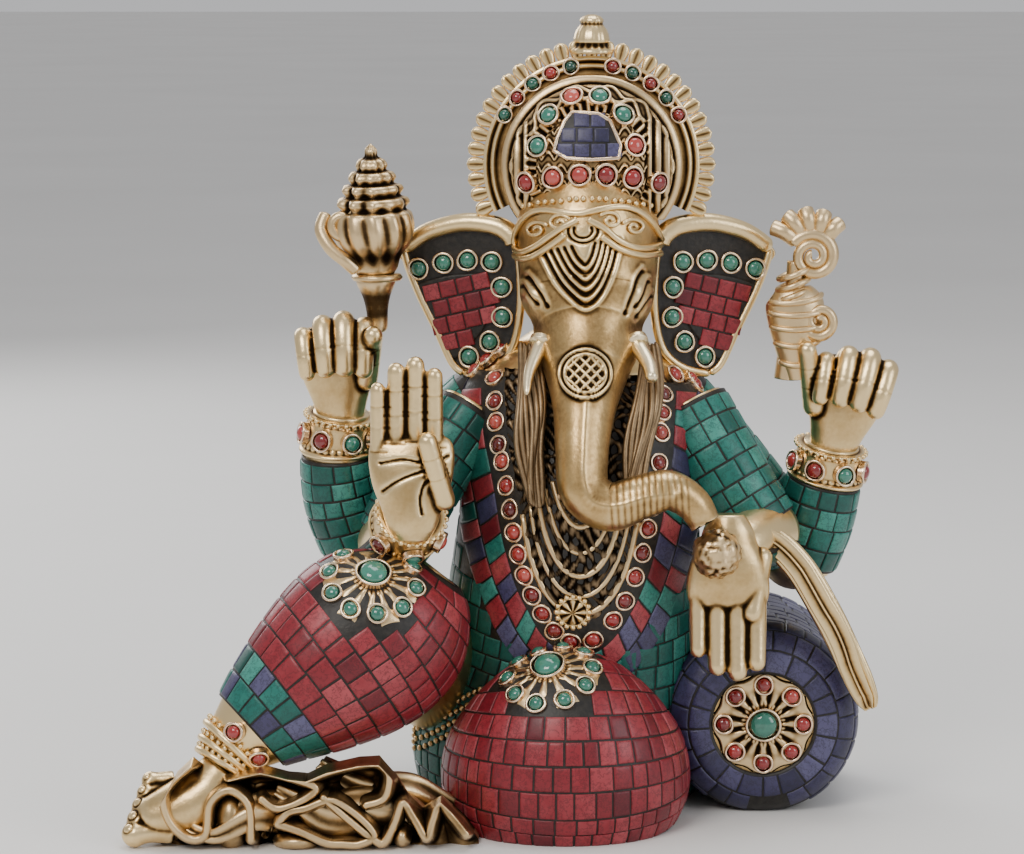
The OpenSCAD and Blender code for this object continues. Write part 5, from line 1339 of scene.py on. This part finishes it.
def hand(name, nodes, wrist, turn, size, bends, thumb_at, thumb_lean, thumb_bend, together=1.0, shift=0.0,
         splay=1.0):
    """A hand drawn upright with its palm to the front, then turned and set on the wrist.

    bends holds the degrees at a finger's three joints; the thumb has its own root, lean and bends. together
    draws the fingers' roots in, shift moves them across, and splay scales their lean.
    """
    shape = Shape()
    creases = []
    matrix = turn_matrix(turn)

    def world(q):
        return np.asarray(wrist) + (matrix @ (np.asarray(size) * np.asarray(q)).T).T
    p = limb_grid(PALM, FRONT, 60, 60)
    shape.grid(world(p.reshape(-1, 3)).reshape(p.shape), wrap=True, caps=True)
    for x, z, scale, lean in FINGERS:
        pts = finger_path([x * together + shift, 0.2, z - 3], turn_matrix((0, -lean * splay, 0)),
                          (3, 8 * scale, 7 * scale, 5.6 * scale), (0, *bends))
        add_finger(shape, creases, world, pts, 3.12 * scale * together)
    pts = finger_path(thumb_at, turn_matrix((0, thumb_lean, 0)), (7, 6, 4.8), thumb_bend)
    add_finger(shape, creases, world, pts, 3.1)
    obj = mesh_object(name, shape, BRASS)
    remesh(obj, 0.42)
    p, n = mesh_points(obj)
    local = ((p - np.asarray(wrist)) @ matrix) / np.asarray(size)
    dig = np.zeros(len(p))
    palm_side = (n @ (matrix @ np.array([0, -1.0, 0]))) > 0.2
    for centre, direction in creases:
        rel = p - centre
        along = rel @ direction
        away = np.linalg.norm(rel - along[:, None] * direction, axis=1)
        dig -= 0.07 * np.exp(-(along / 0.35) ** 2) * (away < 4) * palm_side
    if bends[0] < 10:
        flat = palm_side & (local[:, 1] > -5.7)
        for line in PALM_LINES:
            dig += np.where(flat, stroke(local[:, [0, 2]], curve2(line), -0.55, 0.5), 0)
    set_points(obj, p + dig[:, None] * n)
    finish(obj, "brass", nodes, fine=2.4)


def add_finger(shape, creases, world, points, radius):
    """One finger through its joints; where its creases lie is noted in creases."""
    points = world(np.array(points))
    path = smooth_path(points, 30)
    t = np.linspace(0, 1, 30)
    r = radius * (1.0 - 0.12 * t)
    shape.tube(path, r, 18)
    shape.ball(path[-1], r[-1] * 0.99, 18)
    shape.ball(path[0], r[0] * 0.99, 18)
    for k in range(1, len(points) - 1):
        creases.append((points[k], unit(points[k + 1] - points[k - 1])))


def remesh(obj, voxel):
    """Joins overlapping forms into one skin."""
    modifier = obj.modifiers.new("join", "REMESH")
    modifier.mode = "VOXEL"
    modifier.voxel_size = voxel * MM
    modifier.use_smooth_shade = True
    deps = bpy.context.evaluated_depsgraph_get()
    mesh = bpy.data.meshes.new_from_object(obj.evaluated_get(deps))
    material = obj.data.materials[0]
    obj.modifiers.clear()
    obj.data = mesh
    mesh.materials.clear()
    mesh.materials.append(material)
    mesh.polygons.foreach_set("use_smooth", np.ones(len(mesh.polygons), bool))
    set_points(obj, relax(mesh_points(obj)[0], neighbours(obj), 2))


def hands():
    hand("rear_right_fist", ["rear_right_hand"], [-48, 6, 111.6], (4, -3, 0), (1, 1, 1), (62, 88, 30),
         [8, -3, 9], 12,
         (24, 10, 16))
    hand("rear_left_fist", ["rear_left_hand"], [90.4, 6, 102.8], (4, 14, 0), (1, 1, 1), (62, 88, 30),
         [-8.6, -3, 9], -22,
         (18, 0, 0))
    hand("raised_palm", ["front_right_hand"], [-27, -36.4, 87.5], (-4, 0, 0), (1.04, 1, 0.95), (4, 3, 2),
         [8.4, -2, 6], -14,
         (16, -4, 0), together=0.87, shift=-1.2, splay=0.1)
    hand("lowered_hand", ["front_left_hand"], [59, -24, 82], (176, 0, 0), (1.02, 1, 0.86), (-3, -2, -2),
         [9, -1, 8], -8,
         (-8, 0, 0), together=0.96, splay=0.0)
    shape = Shape()
    shape.ball(SWEET, SWEET_R, 60)
    obj = mesh_object("round_sweet", shape, AGED)
    p, n = mesh_points(obj)
    spots = RNG.normal(size=(150, 3))
    spots = SWEET + (SWEET_R + 0.2) * unit(spots)
    distance = np.min(np.linalg.norm(p[:, None] - spots[None], axis=2), axis=1)
    set_points(obj, p + (0.75 * np.exp(-(distance / 0.75) ** 2))[:, None] * n - 0.3 * n)
    finish(obj, "brass", ["sweet"], fine=2.4)


# ---- Cuffs ----------------------------------------------------------------------------------------------
def cuff(shape, fore, ref, c0):
    """A cuff from station c0 to CUFF_END: two rolled rims, each with a beaded line beside it."""
    s = np.linspace(c0, CUFF_END, 60)[:, None]
    a = np.arange(120)[None, :] * 3.0
    u = (s - c0) / (CUFF_END - c0)
    beads = 0.5 + 0.5 * np.cos(np.radians(a * 30))
    h = 1.1 + swell(u, 0.07, 0.06, 0.9) + swell(u, 0.93, 0.06, 0.9)
    h = h + swell(u, 0.2, 0.04, 0.5) * beads
    h = h + swell(u, 0.8, 0.04, 0.5) * beads
    h = np.where((u <= 0) | (u >= 1), 0.0, h) + 0 * a
    shape.grid(skin(fore, ref, s + 0 * a, a + 0 * s, h), wrap=True, caps=True)


def cuffs():
    """The three jewelled cuffs."""
    reds, greens, wires = Shape(), Shape(), Shape()
    for name, fore, ref, c0, s, a0, a1, count in (
            ("rear_right_cuff", REAR_RIGHT_FORE, FRONT, 2.1, 2.45, 20, 160, 4),
            ("rear_left_cuff", REAR_LEFT_FORE, FRONT, 2.05, 2.42, 20, 160, 4),
            ("front_right_cuff", FRONT_RIGHT_FORE, UP, 1.9, 2.2, 215, 325, 3)):
        shape = Shape()
        cuff(shape, fore, ref, c0)
        for k in range(28):
            a = 360 * k / 28
            shape.ball(skin(fore, ref, 2.82, a, 2.0), 0.75, 10)
        add_piece(name + "_skin", shape, BRASS, "brass", name)
        for k in range(count):
            a = a0 + (a1 - a0) * k / (count - 1)
            gem(greens if k % 3 == 1 else reds, wires, skin(fore, ref, s, a, 1.45), normal(fore, ref, s, a),
                STONE_R * 1.1,
                tint=0.75 if k % 3 == 1 else None)
    add_plain("cuff_red_gems", reds, RED, "cuff_stones")
    add_plain("cuff_green_gems", greens, GREEN, "cuff_stones")
    add_bezels("cuff_wire_bezels", wires, "cuff_bezels")


# ---- What the hands hold --------------------------------------------------------------------------------
def spiral(shape, centre, radius, wire, turns, start, sign, depth=0.0):
    """A cord that winds inward and thins."""
    u = np.linspace(0, 1, 90)
    t = np.radians(start) + sign * u * turns * 2 * np.pi
    r = radius * (1 - 0.86 * u)
    shape.tube(np.stack([r * np.cos(t), -depth * u, r * np.sin(t)], -1) + np.asarray(centre),
               wire * (1 - 0.45 * u), 14)


def conch():
    """A ribbed, turned shell with a rolled lip, held point up."""
    shape = Shape()
    base = np.array([-37.5, 2, 140])
    lean = turn_matrix((0, -2, 0))
    profile = [[0.2, -6], [2.6, -5], [3.0, 0], [3.8, 4], [5.4, 8], [5.2, 10.4], [6.2, 12], [7.4, 15.6],
               [10.0, 19],
               [11.0, 23], [10.4, 27.0], [8.8, 28.4], [9.6, 30.0], [9.0, 31.4], [7.2, 32.2], [8, 33.8],
               [7.4, 35.0],
               [5.6, 35.6], [6.2, 37.2], [5.4, 38.6], [3.8, 39.2], [4.1, 40.6], [3.4, 42.0], [1.8, 43],
               [1.5, 45], [0.3, 46.2]]
    profile = curve2(profile, 170)
    t = np.arange(140) * 2 * np.pi / 140
    rise = profile[:, 1:]
    ribs = 1 + 0.045 * np.cos(11 * t + rise * 0.16) * np.clip((rise - 12) / 6, 0, 1)
    knobs = 1 + 0.05 * np.cos(9 * t) * np.clip((rise - 28) / 2, 0, 1)
    r = np.maximum(profile[:, :1], 0.1) * ribs * knobs
    p = np.stack([r * np.cos(t), r * np.sin(t), rise + 0.35 * np.sin(t) + 0 * t], -1)
    shape.grid((p.reshape(-1, 3) @ lean.T).reshape(p.shape) + base, wrap=True, caps=True)
    spiral(shape, base + [-9.2, -4.6, 24.5], 4.6, 1.7, 1.6, 60, -1)
    lip = smooth_path([base + q for q in ([-13.6, -2, 27.5], [-15.2, -3, 23], [-12.6, -4.5, 18],
                                          [-8.5, -5, 14.5],
                                          [-5.4, -4, 11.5])], 40)
    shape.tube(lip, 1.9 * end_taper(40), 16)
    turned(shape, base + [0, 0, 9.5], [[2, -1.2], [6.6, -0.9], [7.2, 0], [6.6, 0.9], [2, 1.2]], 60)
    obj = mesh_object("conch_skin", shape, AGED)
    finish(obj, "aged_brass", ["conch"], fine=2.2)


def axe():
    """A wrapped shaft with scrolls and a fan of blades."""
    shape = Shape()
    shaft = smooth_path([[76, 2, 121], [77, 2, 130], [78.3, 2, 142], [79, 2, 154]], 30)
    shape.tube(shaft, np.linspace(3.0, 2.6, 30), 24)
    body = [[78, 2, 146.5, 5, 3.4], [78.6, 2, 142.5, 8, 5], [78.8, 2, 136.5, 7.6, 5],
            [79, 1.8, 129, 5.6, 4.4], [79.6, 1.6, 121, 3.4, 3.4]]
    p = limb_grid(body, FRONT, 60, 60)
    shape.grid(p, wrap=True, caps=True)
    for k in range(5):
        s = 0.7 + 0.62 * k
        a = np.linspace(20, 175, 26)
        shape.tube(skin(body, FRONT, s + 0.25 * np.sin(np.radians(a)), a, 0.25), 0.85 * end_taper(26), 10)
    spiral(shape, [83.4, 0.6, 155.5], 6.6, 1.9, 2.1, 150, -1, depth=1.0)
    spiral(shape, [85.2, -1.0, 137.6], 4.8, 1.6, 1.8, 200, 1, depth=1.0)
    for k in range(5):
        t = math.radians(148 - 27 * k)
        root = np.array([83 + 5.0 * math.cos(t), 2, 157 + 5.0 * math.sin(t)])
        tip = np.array([82 + 11.6 * math.cos(t), 2, 158 + 10.2 * math.sin(t)])
        shape.tube(smooth_path([root, (root + tip) / 2 + [0, -1.3, 0.6], tip], 16), 2.3 * end_taper(16), 14)
    for k in range(3):
        z = 144.5 + 3.0 * k
        x = 77.8 + 0.3 * k
        ring = [[x + 4.2 * math.cos(t), 2 + 4.2 * math.sin(t), z + 1.6 * math.cos(t)]
                for t in np.linspace(0, 2 * np.pi, 40)]
        shape.tube(ring, 0.9, 10)
    add_piece("axe_skin", shape, AGED, "aged_brass", "axe", fine=2.2)


# ---- Cloth cast in brass --------------------------------------------------------------------------------
def scarf():
    shape = Shape()
    s = np.linspace(0, 6, 130)[:, None]
    a = (np.arange(160) * 2.25)[None, :]
    q = spine(SCARF, s + 0 * a)
    c = np.cos(np.radians(a))
    fold = 1.1 * np.cos(c * 5.4 * np.pi) * np.minimum(1, q[..., 3] / 5)
    shape.grid(skin(SCARF, UP, s + 0 * a, a + 0 * s, fold), wrap=True, caps=True)
    add_piece("scarf_pleats", shape, BRASS, "brass", "scarf", fine=2.2)


def hair():
    shape = Shape()
    for side in (-1, 1):
        lock = [[MIDLINE + side * 17, -9, 132], [MIDLINE + side * 15.8, -20.6, 117],
                [MIDLINE - 1.5 + side * 14.4, -25, 103],
                [MIDLINE - 2 + side * 12.8, -27.8, 90]]
        path = smooth_path(lock, 60)
        for k in range(7):
            swing = (k - 3) * 1.15
            u = np.linspace(0, 1, 60)
            strand = path + np.stack([swing * np.sin(np.pi * (0.15 + 0.75 * u)) + 0.5 * np.sin(9 * u + k),
                                      -0.5 * np.cos((k - 3) * 0.5) + 0.4 * np.sin(7 * u + 2 * k),
                                      0.6 * np.cos(5 * u + k)], -1)
            shape.tube(strand, 0.85 * end_taper(60), 8)
    add_piece("hair_strands", shape, DARK, "aged_brass", "hair_locks", fine=2.4)


def throat():
    """Chains round the neck, the filigree behind them, and the pendant."""
    shape = Shape()
    for k in range(5):
        t = np.radians(np.linspace(202, 338, 50))
        x = NECKLINE[0] + (8 + 2.1 * k) * np.cos(t)
        z = 96 + (13 + 4.6 * k) * np.sin(t)
        s, a = torso_place(x, z)
        shape.tube(skin(TORSO, FRONT, s, a, np.full(50, 0.8)), 0.75 if k % 2 else 0.95, 10)
    add_piece("throat_wires", shape, AGED, "aged_brass", "throat_bands")
    ground = Shape()
    u = np.linspace(0.02, 0.97, 70)[:, None]
    t = np.radians(np.linspace(181, 359, 220))[None, :]
    x = NECKLINE[0] + (NECKLINE[2] - 2.2) * u * np.cos(t)
    z = NECKLINE[1] + (NECKLINE[3] - 2.4) * u * np.sin(t)
    s, a = torso_place(x, z)
    scroll = np.sin(1.5 * x + 2.2 * np.sin(0.55 * z)) * np.sin(1.25 * z + 2.0 * np.sin(0.6 * x))
    ground.grid(skin(TORSO, FRONT, s, a, CHIP_TOP - 0.2 + 0.55 * np.clip(scroll, -0.6, 0.8)))
    add_piece("neck_filigree", ground, DARK, "aged_brass", fine=2.4)
    drop = Shape()
    s, a = torso_place(np.array(17.0), np.array(65.5))
    centre, n = skin(TORSO, FRONT, s, a, 1.2), normal(TORSO, FRONT, s, a)
    side, up, n = basis(n)
    r = np.linspace(0.02, 1, 26)[:, None]
    v = np.arange(72)[None, :] * 2 * np.pi / 72
    h = 1.5 * np.sqrt(1 - 0.9 * r ** 2) + 0.35 * np.cos(8 * v) * np.sin(np.pi * r) + swell(r, 0.9, 0.06, 0.4)
    p = centre + (4.4 * r * np.cos(v))[..., None] * side + (4.4 * r * np.sin(v))[..., None] * up + h[...,
                                                                                                     None] * n
    drop.grid(p, wrap=True)
    for k in range(16):
        t = 2 * np.pi * k / 16
        drop.ball(centre + 4.5 * (math.cos(t) * side + math.sin(t) * up) + 0.8 * n, 0.8, 10)
    add_piece("pendant_disc", drop, BRASS, "brass", "pendant")


def foot():
    """The right foot with its toes, and the beaded rings on the ankle."""
    shape = Shape()
    sole = [[-78, -40, 20, 6, 6], [-82, -41, 15, 8, 7.5], [-87, -42, 10.4, 8.6, 8.4], [-94, -43, 8, 7.6, 7.2],
            [-99, -43.6, 7, 6, 5.6], [-101, -44, 6.4, 3.4, 3.4]]
    shape.grid(limb_grid(sole, UP, 60, 60), wrap=True, caps=True)
    for k in range(5):
        a = np.array([-92, -46 + 2.2 * k, 4.4 + 2.9 * k])
        b = np.array([-98, -47.4 + 2.3 * k, 4.2 + 3.0 * k])
        c = np.array([-101.7 + 0.9 * k, -47.6 + 2.4 * k, 3.7 + 3.1 * k])
        r = 3.3 - 0.22 * k
        path = smooth_path([a, b, c], 22)
        shape.tube(path, r * (1.0 + 0.1 * np.cos(np.linspace(0, 2 * np.pi, 22))), 20)
        shape.ball(c, r * 1.08, 20)
    obj = mesh_object("right_foot_skin", shape, BRASS)
    remesh(obj, 0.4)
    p, n = mesh_points(obj)
    dig = np.zeros(len(p))
    for k in range(5):
        nail = np.array([-103.4 + 0.9 * k, -49.6 + 2.4 * k, 6.0 + 3.1 * k])
        away = np.linalg.norm(p - nail, axis=1)
        dig += 0.2 * np.exp(-(away / 1.2) ** 4) - 0.2 * np.exp(-((away - 1.6) / 0.3) ** 2)
    set_points(obj, np.maximum(p + dig[:, None] * n, FOOT_LIMIT))
    finish(obj, "brass", ["right_foot"], fine=2.4)
    rings, wires, reds = Shape(), Shape(), Shape()
    for s0, lift in ((0.56, 1.0), (0.82, 1.0), (1.1, 1.2)):
        a = np.linspace(0, 360, 90)
        rings.tube(skin(RIGHT_SHIN, FRONT, np.full(90, s0), a, np.full(90, lift)), 1.0, 12)
        for k in range(24):
            rings.ball(skin(RIGHT_SHIN, FRONT, s0 + 0.12, 15 * k, 1.0), 0.75, 10)
    add_piece("ankle_ring_beads", rings, BRASS, "brass", "ankle_rings")
    for a in (60, 110):
        gem(reds, wires, skin(RIGHT_SHIN, FRONT, 1.34, a, 0.8), normal(RIGHT_SHIN, FRONT, 1.34, a),
            STONE_R * 0.95)
    add_plain("ankle_gems", reds, RED)
    add_bezels("ankle_gem_wires", wires)


FOLDS = (
    [[-86, -44, 14, 3, 3], [-88, -46, 7, 4, 4], [-80, -49, 4, 4.4, 4], [-71, -48, 9, 5.4, 6],
     [-64, -44, 9, 5, 7],
     [-58, -42, 5, 4, 5]],
    [[-66, -44, 16, 3, 3], [-58, -44, 12, 5, 5], [-50, -44, 8, 6, 7], [-40, -43, 9, 6, 8],
     [-30, -41, 8, 6, 7],
     [-22, -38, 4, 3.6, 4]],
    [[-54, -36, 22, 3, 3], [-46, -38, 17, 5, 5], [-36, -38, 14, 6, 6], [-28, -36, 13, 5, 6],
     [-20, -33, 9, 4, 5],
     [-12, -30, 5, 3, 4]])
# The cloth is drawn in x and height. HEMS are its raised edges, DRAPE_TOP its outline, HOLLOWS and LUMPS hold
# x, height and their two half sizes.
HEMS = (
    [[-85.7, 23.5], [-92.8, 16.4], [-92.1, 8.6], [-87.1, 3.4], [-82.2, 4.4], [-80.8, 12.9], [-75.8, 16.4],
     [-70.6, 12.4],
     [-70.0, 3.0]],
    [[-76.0, 20.0], [-67.4, 21.6], [-59.0, 19.6], [-52.5, 16.9], [-57.5, 13.0], [-63.1, 11.5], [-67.0, 14.0]],
    [[-62.8, 7.2], [-60.0, 10.4], [-55.4, 11.5], [-48.3, 13.6], [-41.2, 9.4], [-37, 4.2], [-41.0, 1.8],
     [-45.5, 1.8],
     [-50.0, 2.2], [-56.8, 5.2], [-62.8, 7.2]],
    [[-55.0, 19.0], [-49.7, 21.2], [-41.2, 23.5], [-35.6, 23.6], [-32.8, 20.2], [-34.2, 14.3], [-39, 12.4]],
    [[-50.4, 14.3], [-44.0, 8.6], [-37, 3.0], [-34.2, 2.4], [-31.4, 7.6], [-29.2, 12.9], [-26.0, 8.4],
     [-22.9, 3.4],
     [-21.2, 8.2], [-19.3, 12.6], [-15.8, 8.8], [-12.3, 4.4]])
DRAPE_TOP = [[-95, 12], [-90, 21], [-85.7, 25], [-80, 20], [-75.5, 20.5], [-67.4, 23], [-60, 21],
             [-55, 20.5], [-49.7, 23],
             [-41, 25], [-35.6, 25.3], [-31, 20], [-28, 15], [-24, 11], [-19, 14.3], [-13, 8], [-9, 2.5]]
HOLLOWS = ([-86.4, 14.0, 4.0, 7.5], [-48.5, 6.0, 6.5, 3.0], [-62.0, 16.0, 4.5, 2.6], [-43.0, 18.0, 5.5, 3.2],
           [-33.0, 9.0, 1.6, 4.0], [-26.0, 5.0, 1.8, 3.4], [-66.5, 6.0, 2.4, 6.0])
LUMPS = ([-75.6, 7.4, 5.0, 8.6], [-58.0, 2.0, 7.0, 3.0], [-29.6, 3.6, 3.0, 3.6])


def drapery():
    """The spilled cloth as one cast relief: hems are rubbed ridges, and folds are hollows darkened by patina and
    painted shade.
    """
    x = np.linspace(DRAPE_TOP[0][0], DRAPE_TOP[-1][0], 430)[None, :]
    v = np.linspace(0, 1, 130)[:, None]
    top = np.interp(x, *np.array(DRAPE_TOP).T)
    h = top * v
    xy = np.stack([x + 0 * h, h + 0 * x], -1).reshape(-1, 2)
    near = np.full(len(xy), 1e9)
    for line in HEMS:
        near = np.minimum(near, line_distance(xy, curve2(line, 70)))
    out = 6.6 * np.exp(-(near / 1.85) ** 4) + 3.0 * np.exp(-(near / 4.0) ** 2)
    out += 0.45 * np.sin(xy[:, 0] * 0.9 + 1.3 * np.sin(xy[:, 1] * 0.5)) * np.clip((near - 1.6) / 2, 0, 1)
    for cx, ch, w, high in LUMPS:
        ball = 1 - ((xy[:, 0] - cx) / w) ** 2 - ((xy[:, 1] - ch) / high) ** 2
        out = np.maximum(out, 8.8 * np.sqrt(np.clip(ball, 0, 1)))
    for cx, ch, w, high in HOLLOWS:
        ball = ((xy[:, 0] - cx) / w) ** 2 + ((xy[:, 1] - ch) / high) ** 2
        out -= 4.0 * np.exp(-ball ** 2) * (near > 1.2)
    y = -43.4 - out.reshape(h.shape) * np.clip((1.0 - v) * 9 + 0.25, 0, 1)
    z = np.maximum((h - 0.139 * (y + 50)) / 0.99, 0)
    z[0] = 0
    front = np.stack([x + 0 * h, y, z], -1)
    back = np.stack([x + 0 * h, -37.0 + 0 * h, z * 0.86], -1)
    shape = Shape()
    shape.grid(np.concatenate([front, back[::-1]]))
    for side in (0, -1):
        shape.grid(np.stack([front[:, side], back[:, side]]))
    for k, fold in enumerate(FOLDS):
        s = np.linspace(0.3, len(fold) - 1.3, 90)[:, None]
        a = (np.arange(80) * 4.5)[None, :]
        pleat = 0.4 * np.cos(np.radians(a * 5) + s * 1.4 + k) - 1.4
        shape.grid(skin(fold, UP, s + 0 * a, a + 0 * s, pleat), wrap=True, caps=True)
    # broad and steps tune the painted shade here: weaker, but reaching farther, so the fold hollows fall dark
    add_piece("drapery_relief", shape, AGED, "aged_brass", "drapery", fine=2.2, broad=0.5, steps=(2, 40))
    beads = Shape()
    for row in range(4):
        for k in range(15):
            x, z = -29.0 + 1.55 * k + 1.0 * row, 18.0 + 1.45 * k - 1.6 * row
            s, a = torso_place(np.array(x), np.array(z))
            beads.ball(skin(TORSO, FRONT, s, a, 1.9), 0.85, 10)
    add_piece("sash_beads", beads, AGED, "aged_brass")


# ---- Camera, light and floor ----------------------------------------------------------------------------
def look_at(obj, target):
    direction = np.asarray(target) - np.asarray(obj.location)
    yaw = math.atan2(direction[1], direction[0]) - math.pi / 2
    pitch = math.atan2(direction[2], math.hypot(direction[0], direction[1]))
    obj.rotation_euler = (math.pi / 2 + pitch, 0, yaw)


def camera():
    data = bpy.data.cameras.new("camera")
    data.sensor_width = 36.0
    cam = bpy.data.objects.new("camera", data)
    bpy.context.scene.collection.objects.link(cam)
    aim = (np.array([0.0, 0.0, 108.0]) - CENTRE) * MM
    aim[1] = 0.0
    distance = 0.95
    tilt = math.radians(8)
    cam.location = aim + distance * np.array([0, -math.cos(tilt), math.sin(tilt)])
    data.lens = data.sensor_width * distance / 0.285
    look_at(cam, aim)
    bpy.context.scene.camera = cam


def area_light(name, place, size, power, colour=(1, 1, 1)):
    data = bpy.data.lights.new(name, "AREA")
    data.shape = "RECTANGLE"
    data.size, data.size_y = size
    data.energy = power
    data.color = colour
    lamp = bpy.data.objects.new(name, data)
    lamp.location = place
    look_at(lamp, (0, 0, 0.1))
    bpy.context.scene.collection.objects.link(lamp)


def studio():
    area_light("key_light", (-0.35, -0.75, 0.75), (0.45, 0.35), 5.6, (1.0, 0.96, 0.9))
    area_light("fill_light", (0.85, -0.6, 0.45), (0.5, 0.6), 3.6, (0.95, 0.97, 1.0))
    area_light("top_light", (0.1, 0.1, 1.0), (0.6, 0.5), 4.5)
    area_light("rim_light", (-0.5, 0.8, 0.5), (0.5, 0.5), 4.0)
    world = bpy.data.worlds.new("studio")
    world.use_nodes = True
    world.node_tree.nodes["Background"].inputs["Color"].default_value = (0.8, 0.8, 0.82, 1)
    world.node_tree.nodes["Background"].inputs["Strength"].default_value = 0.72
    bpy.context.scene.world = world
    mesh = bpy.data.meshes.new("floor")
    half = 12.0
    mesh.from_pydata([(-half, -half, 0), (half, -half, 0), (half, half, 0), (-half, half, 0)], [],
                     [(0, 1, 2, 3)])
    floor = bpy.data.objects.new("floor", mesh)
    paint = Paint("floor_paint", roughness=0.7)
    paint.set("Base Color",
              paint.ramp(paint.noise(3.0), [(0.3, (0.74, 0.73, 0.71)), (0.7, (0.78, 0.77, 0.75))]))
    mesh.materials.append(paint.material)
    bpy.context.scene.collection.objects.link(floor)


# ---- Making ---------------------------------------------------------------------------------------------
camera()
studio()
torso()
legs()
arm("rear_right_arm", REAR_RIGHT_UPPER, REAR_RIGHT_FORE)
arm("rear_left_arm", REAR_LEFT_UPPER, REAR_LEFT_FORE)
arm("front_right_arm", FRONT_RIGHT_UPPER, FRONT_RIGHT_FORE, UP)
arm("front_left_arm", FRONT_LEFT_UPPER, FRONT_LEFT_FORE, UP)
torso_mosaic()
bib_mosaic()
leg_mosaic()
sleeve_mosaic("rear_right_chips", (REAR_RIGHT_UPPER, 0.3, ROUND), (REAR_RIGHT_FORE, 0.25, 2.0, ROUND), FRONT)
sleeve_mosaic("rear_left_chips", (REAR_LEFT_UPPER, 0.3, ROUND), (REAR_LEFT_FORE, 0.25, 2.0, ROUND), FRONT)
sleeve_mosaic("front_right_chips", (FRONT_RIGHT_UPPER, 0.2, (-50, 230)),
              (FRONT_RIGHT_FORE, 0.3, 1.8, (185, 345)), UP)
sleeve_mosaic("front_left_chips", (FRONT_LEFT_UPPER, 0.2, (-50, 230)),
              (FRONT_LEFT_FORE, 0.3, 2.0, (195, 345)), UP)
lac_beds()
bolster()
collar()
rosettes()
head()
brow_band()
crown_dome()
halo()
finial()
crown_gems()
ears()
hands()
cuffs()
conch()
axe()
scarf()
hair()
throat()
foot()
drapery()

for node in ("base_plate", "bolster_cap"):
    plate = frame["nodes"][node].data
    plate.materials.clear()
    plate.materials.append(CAST)
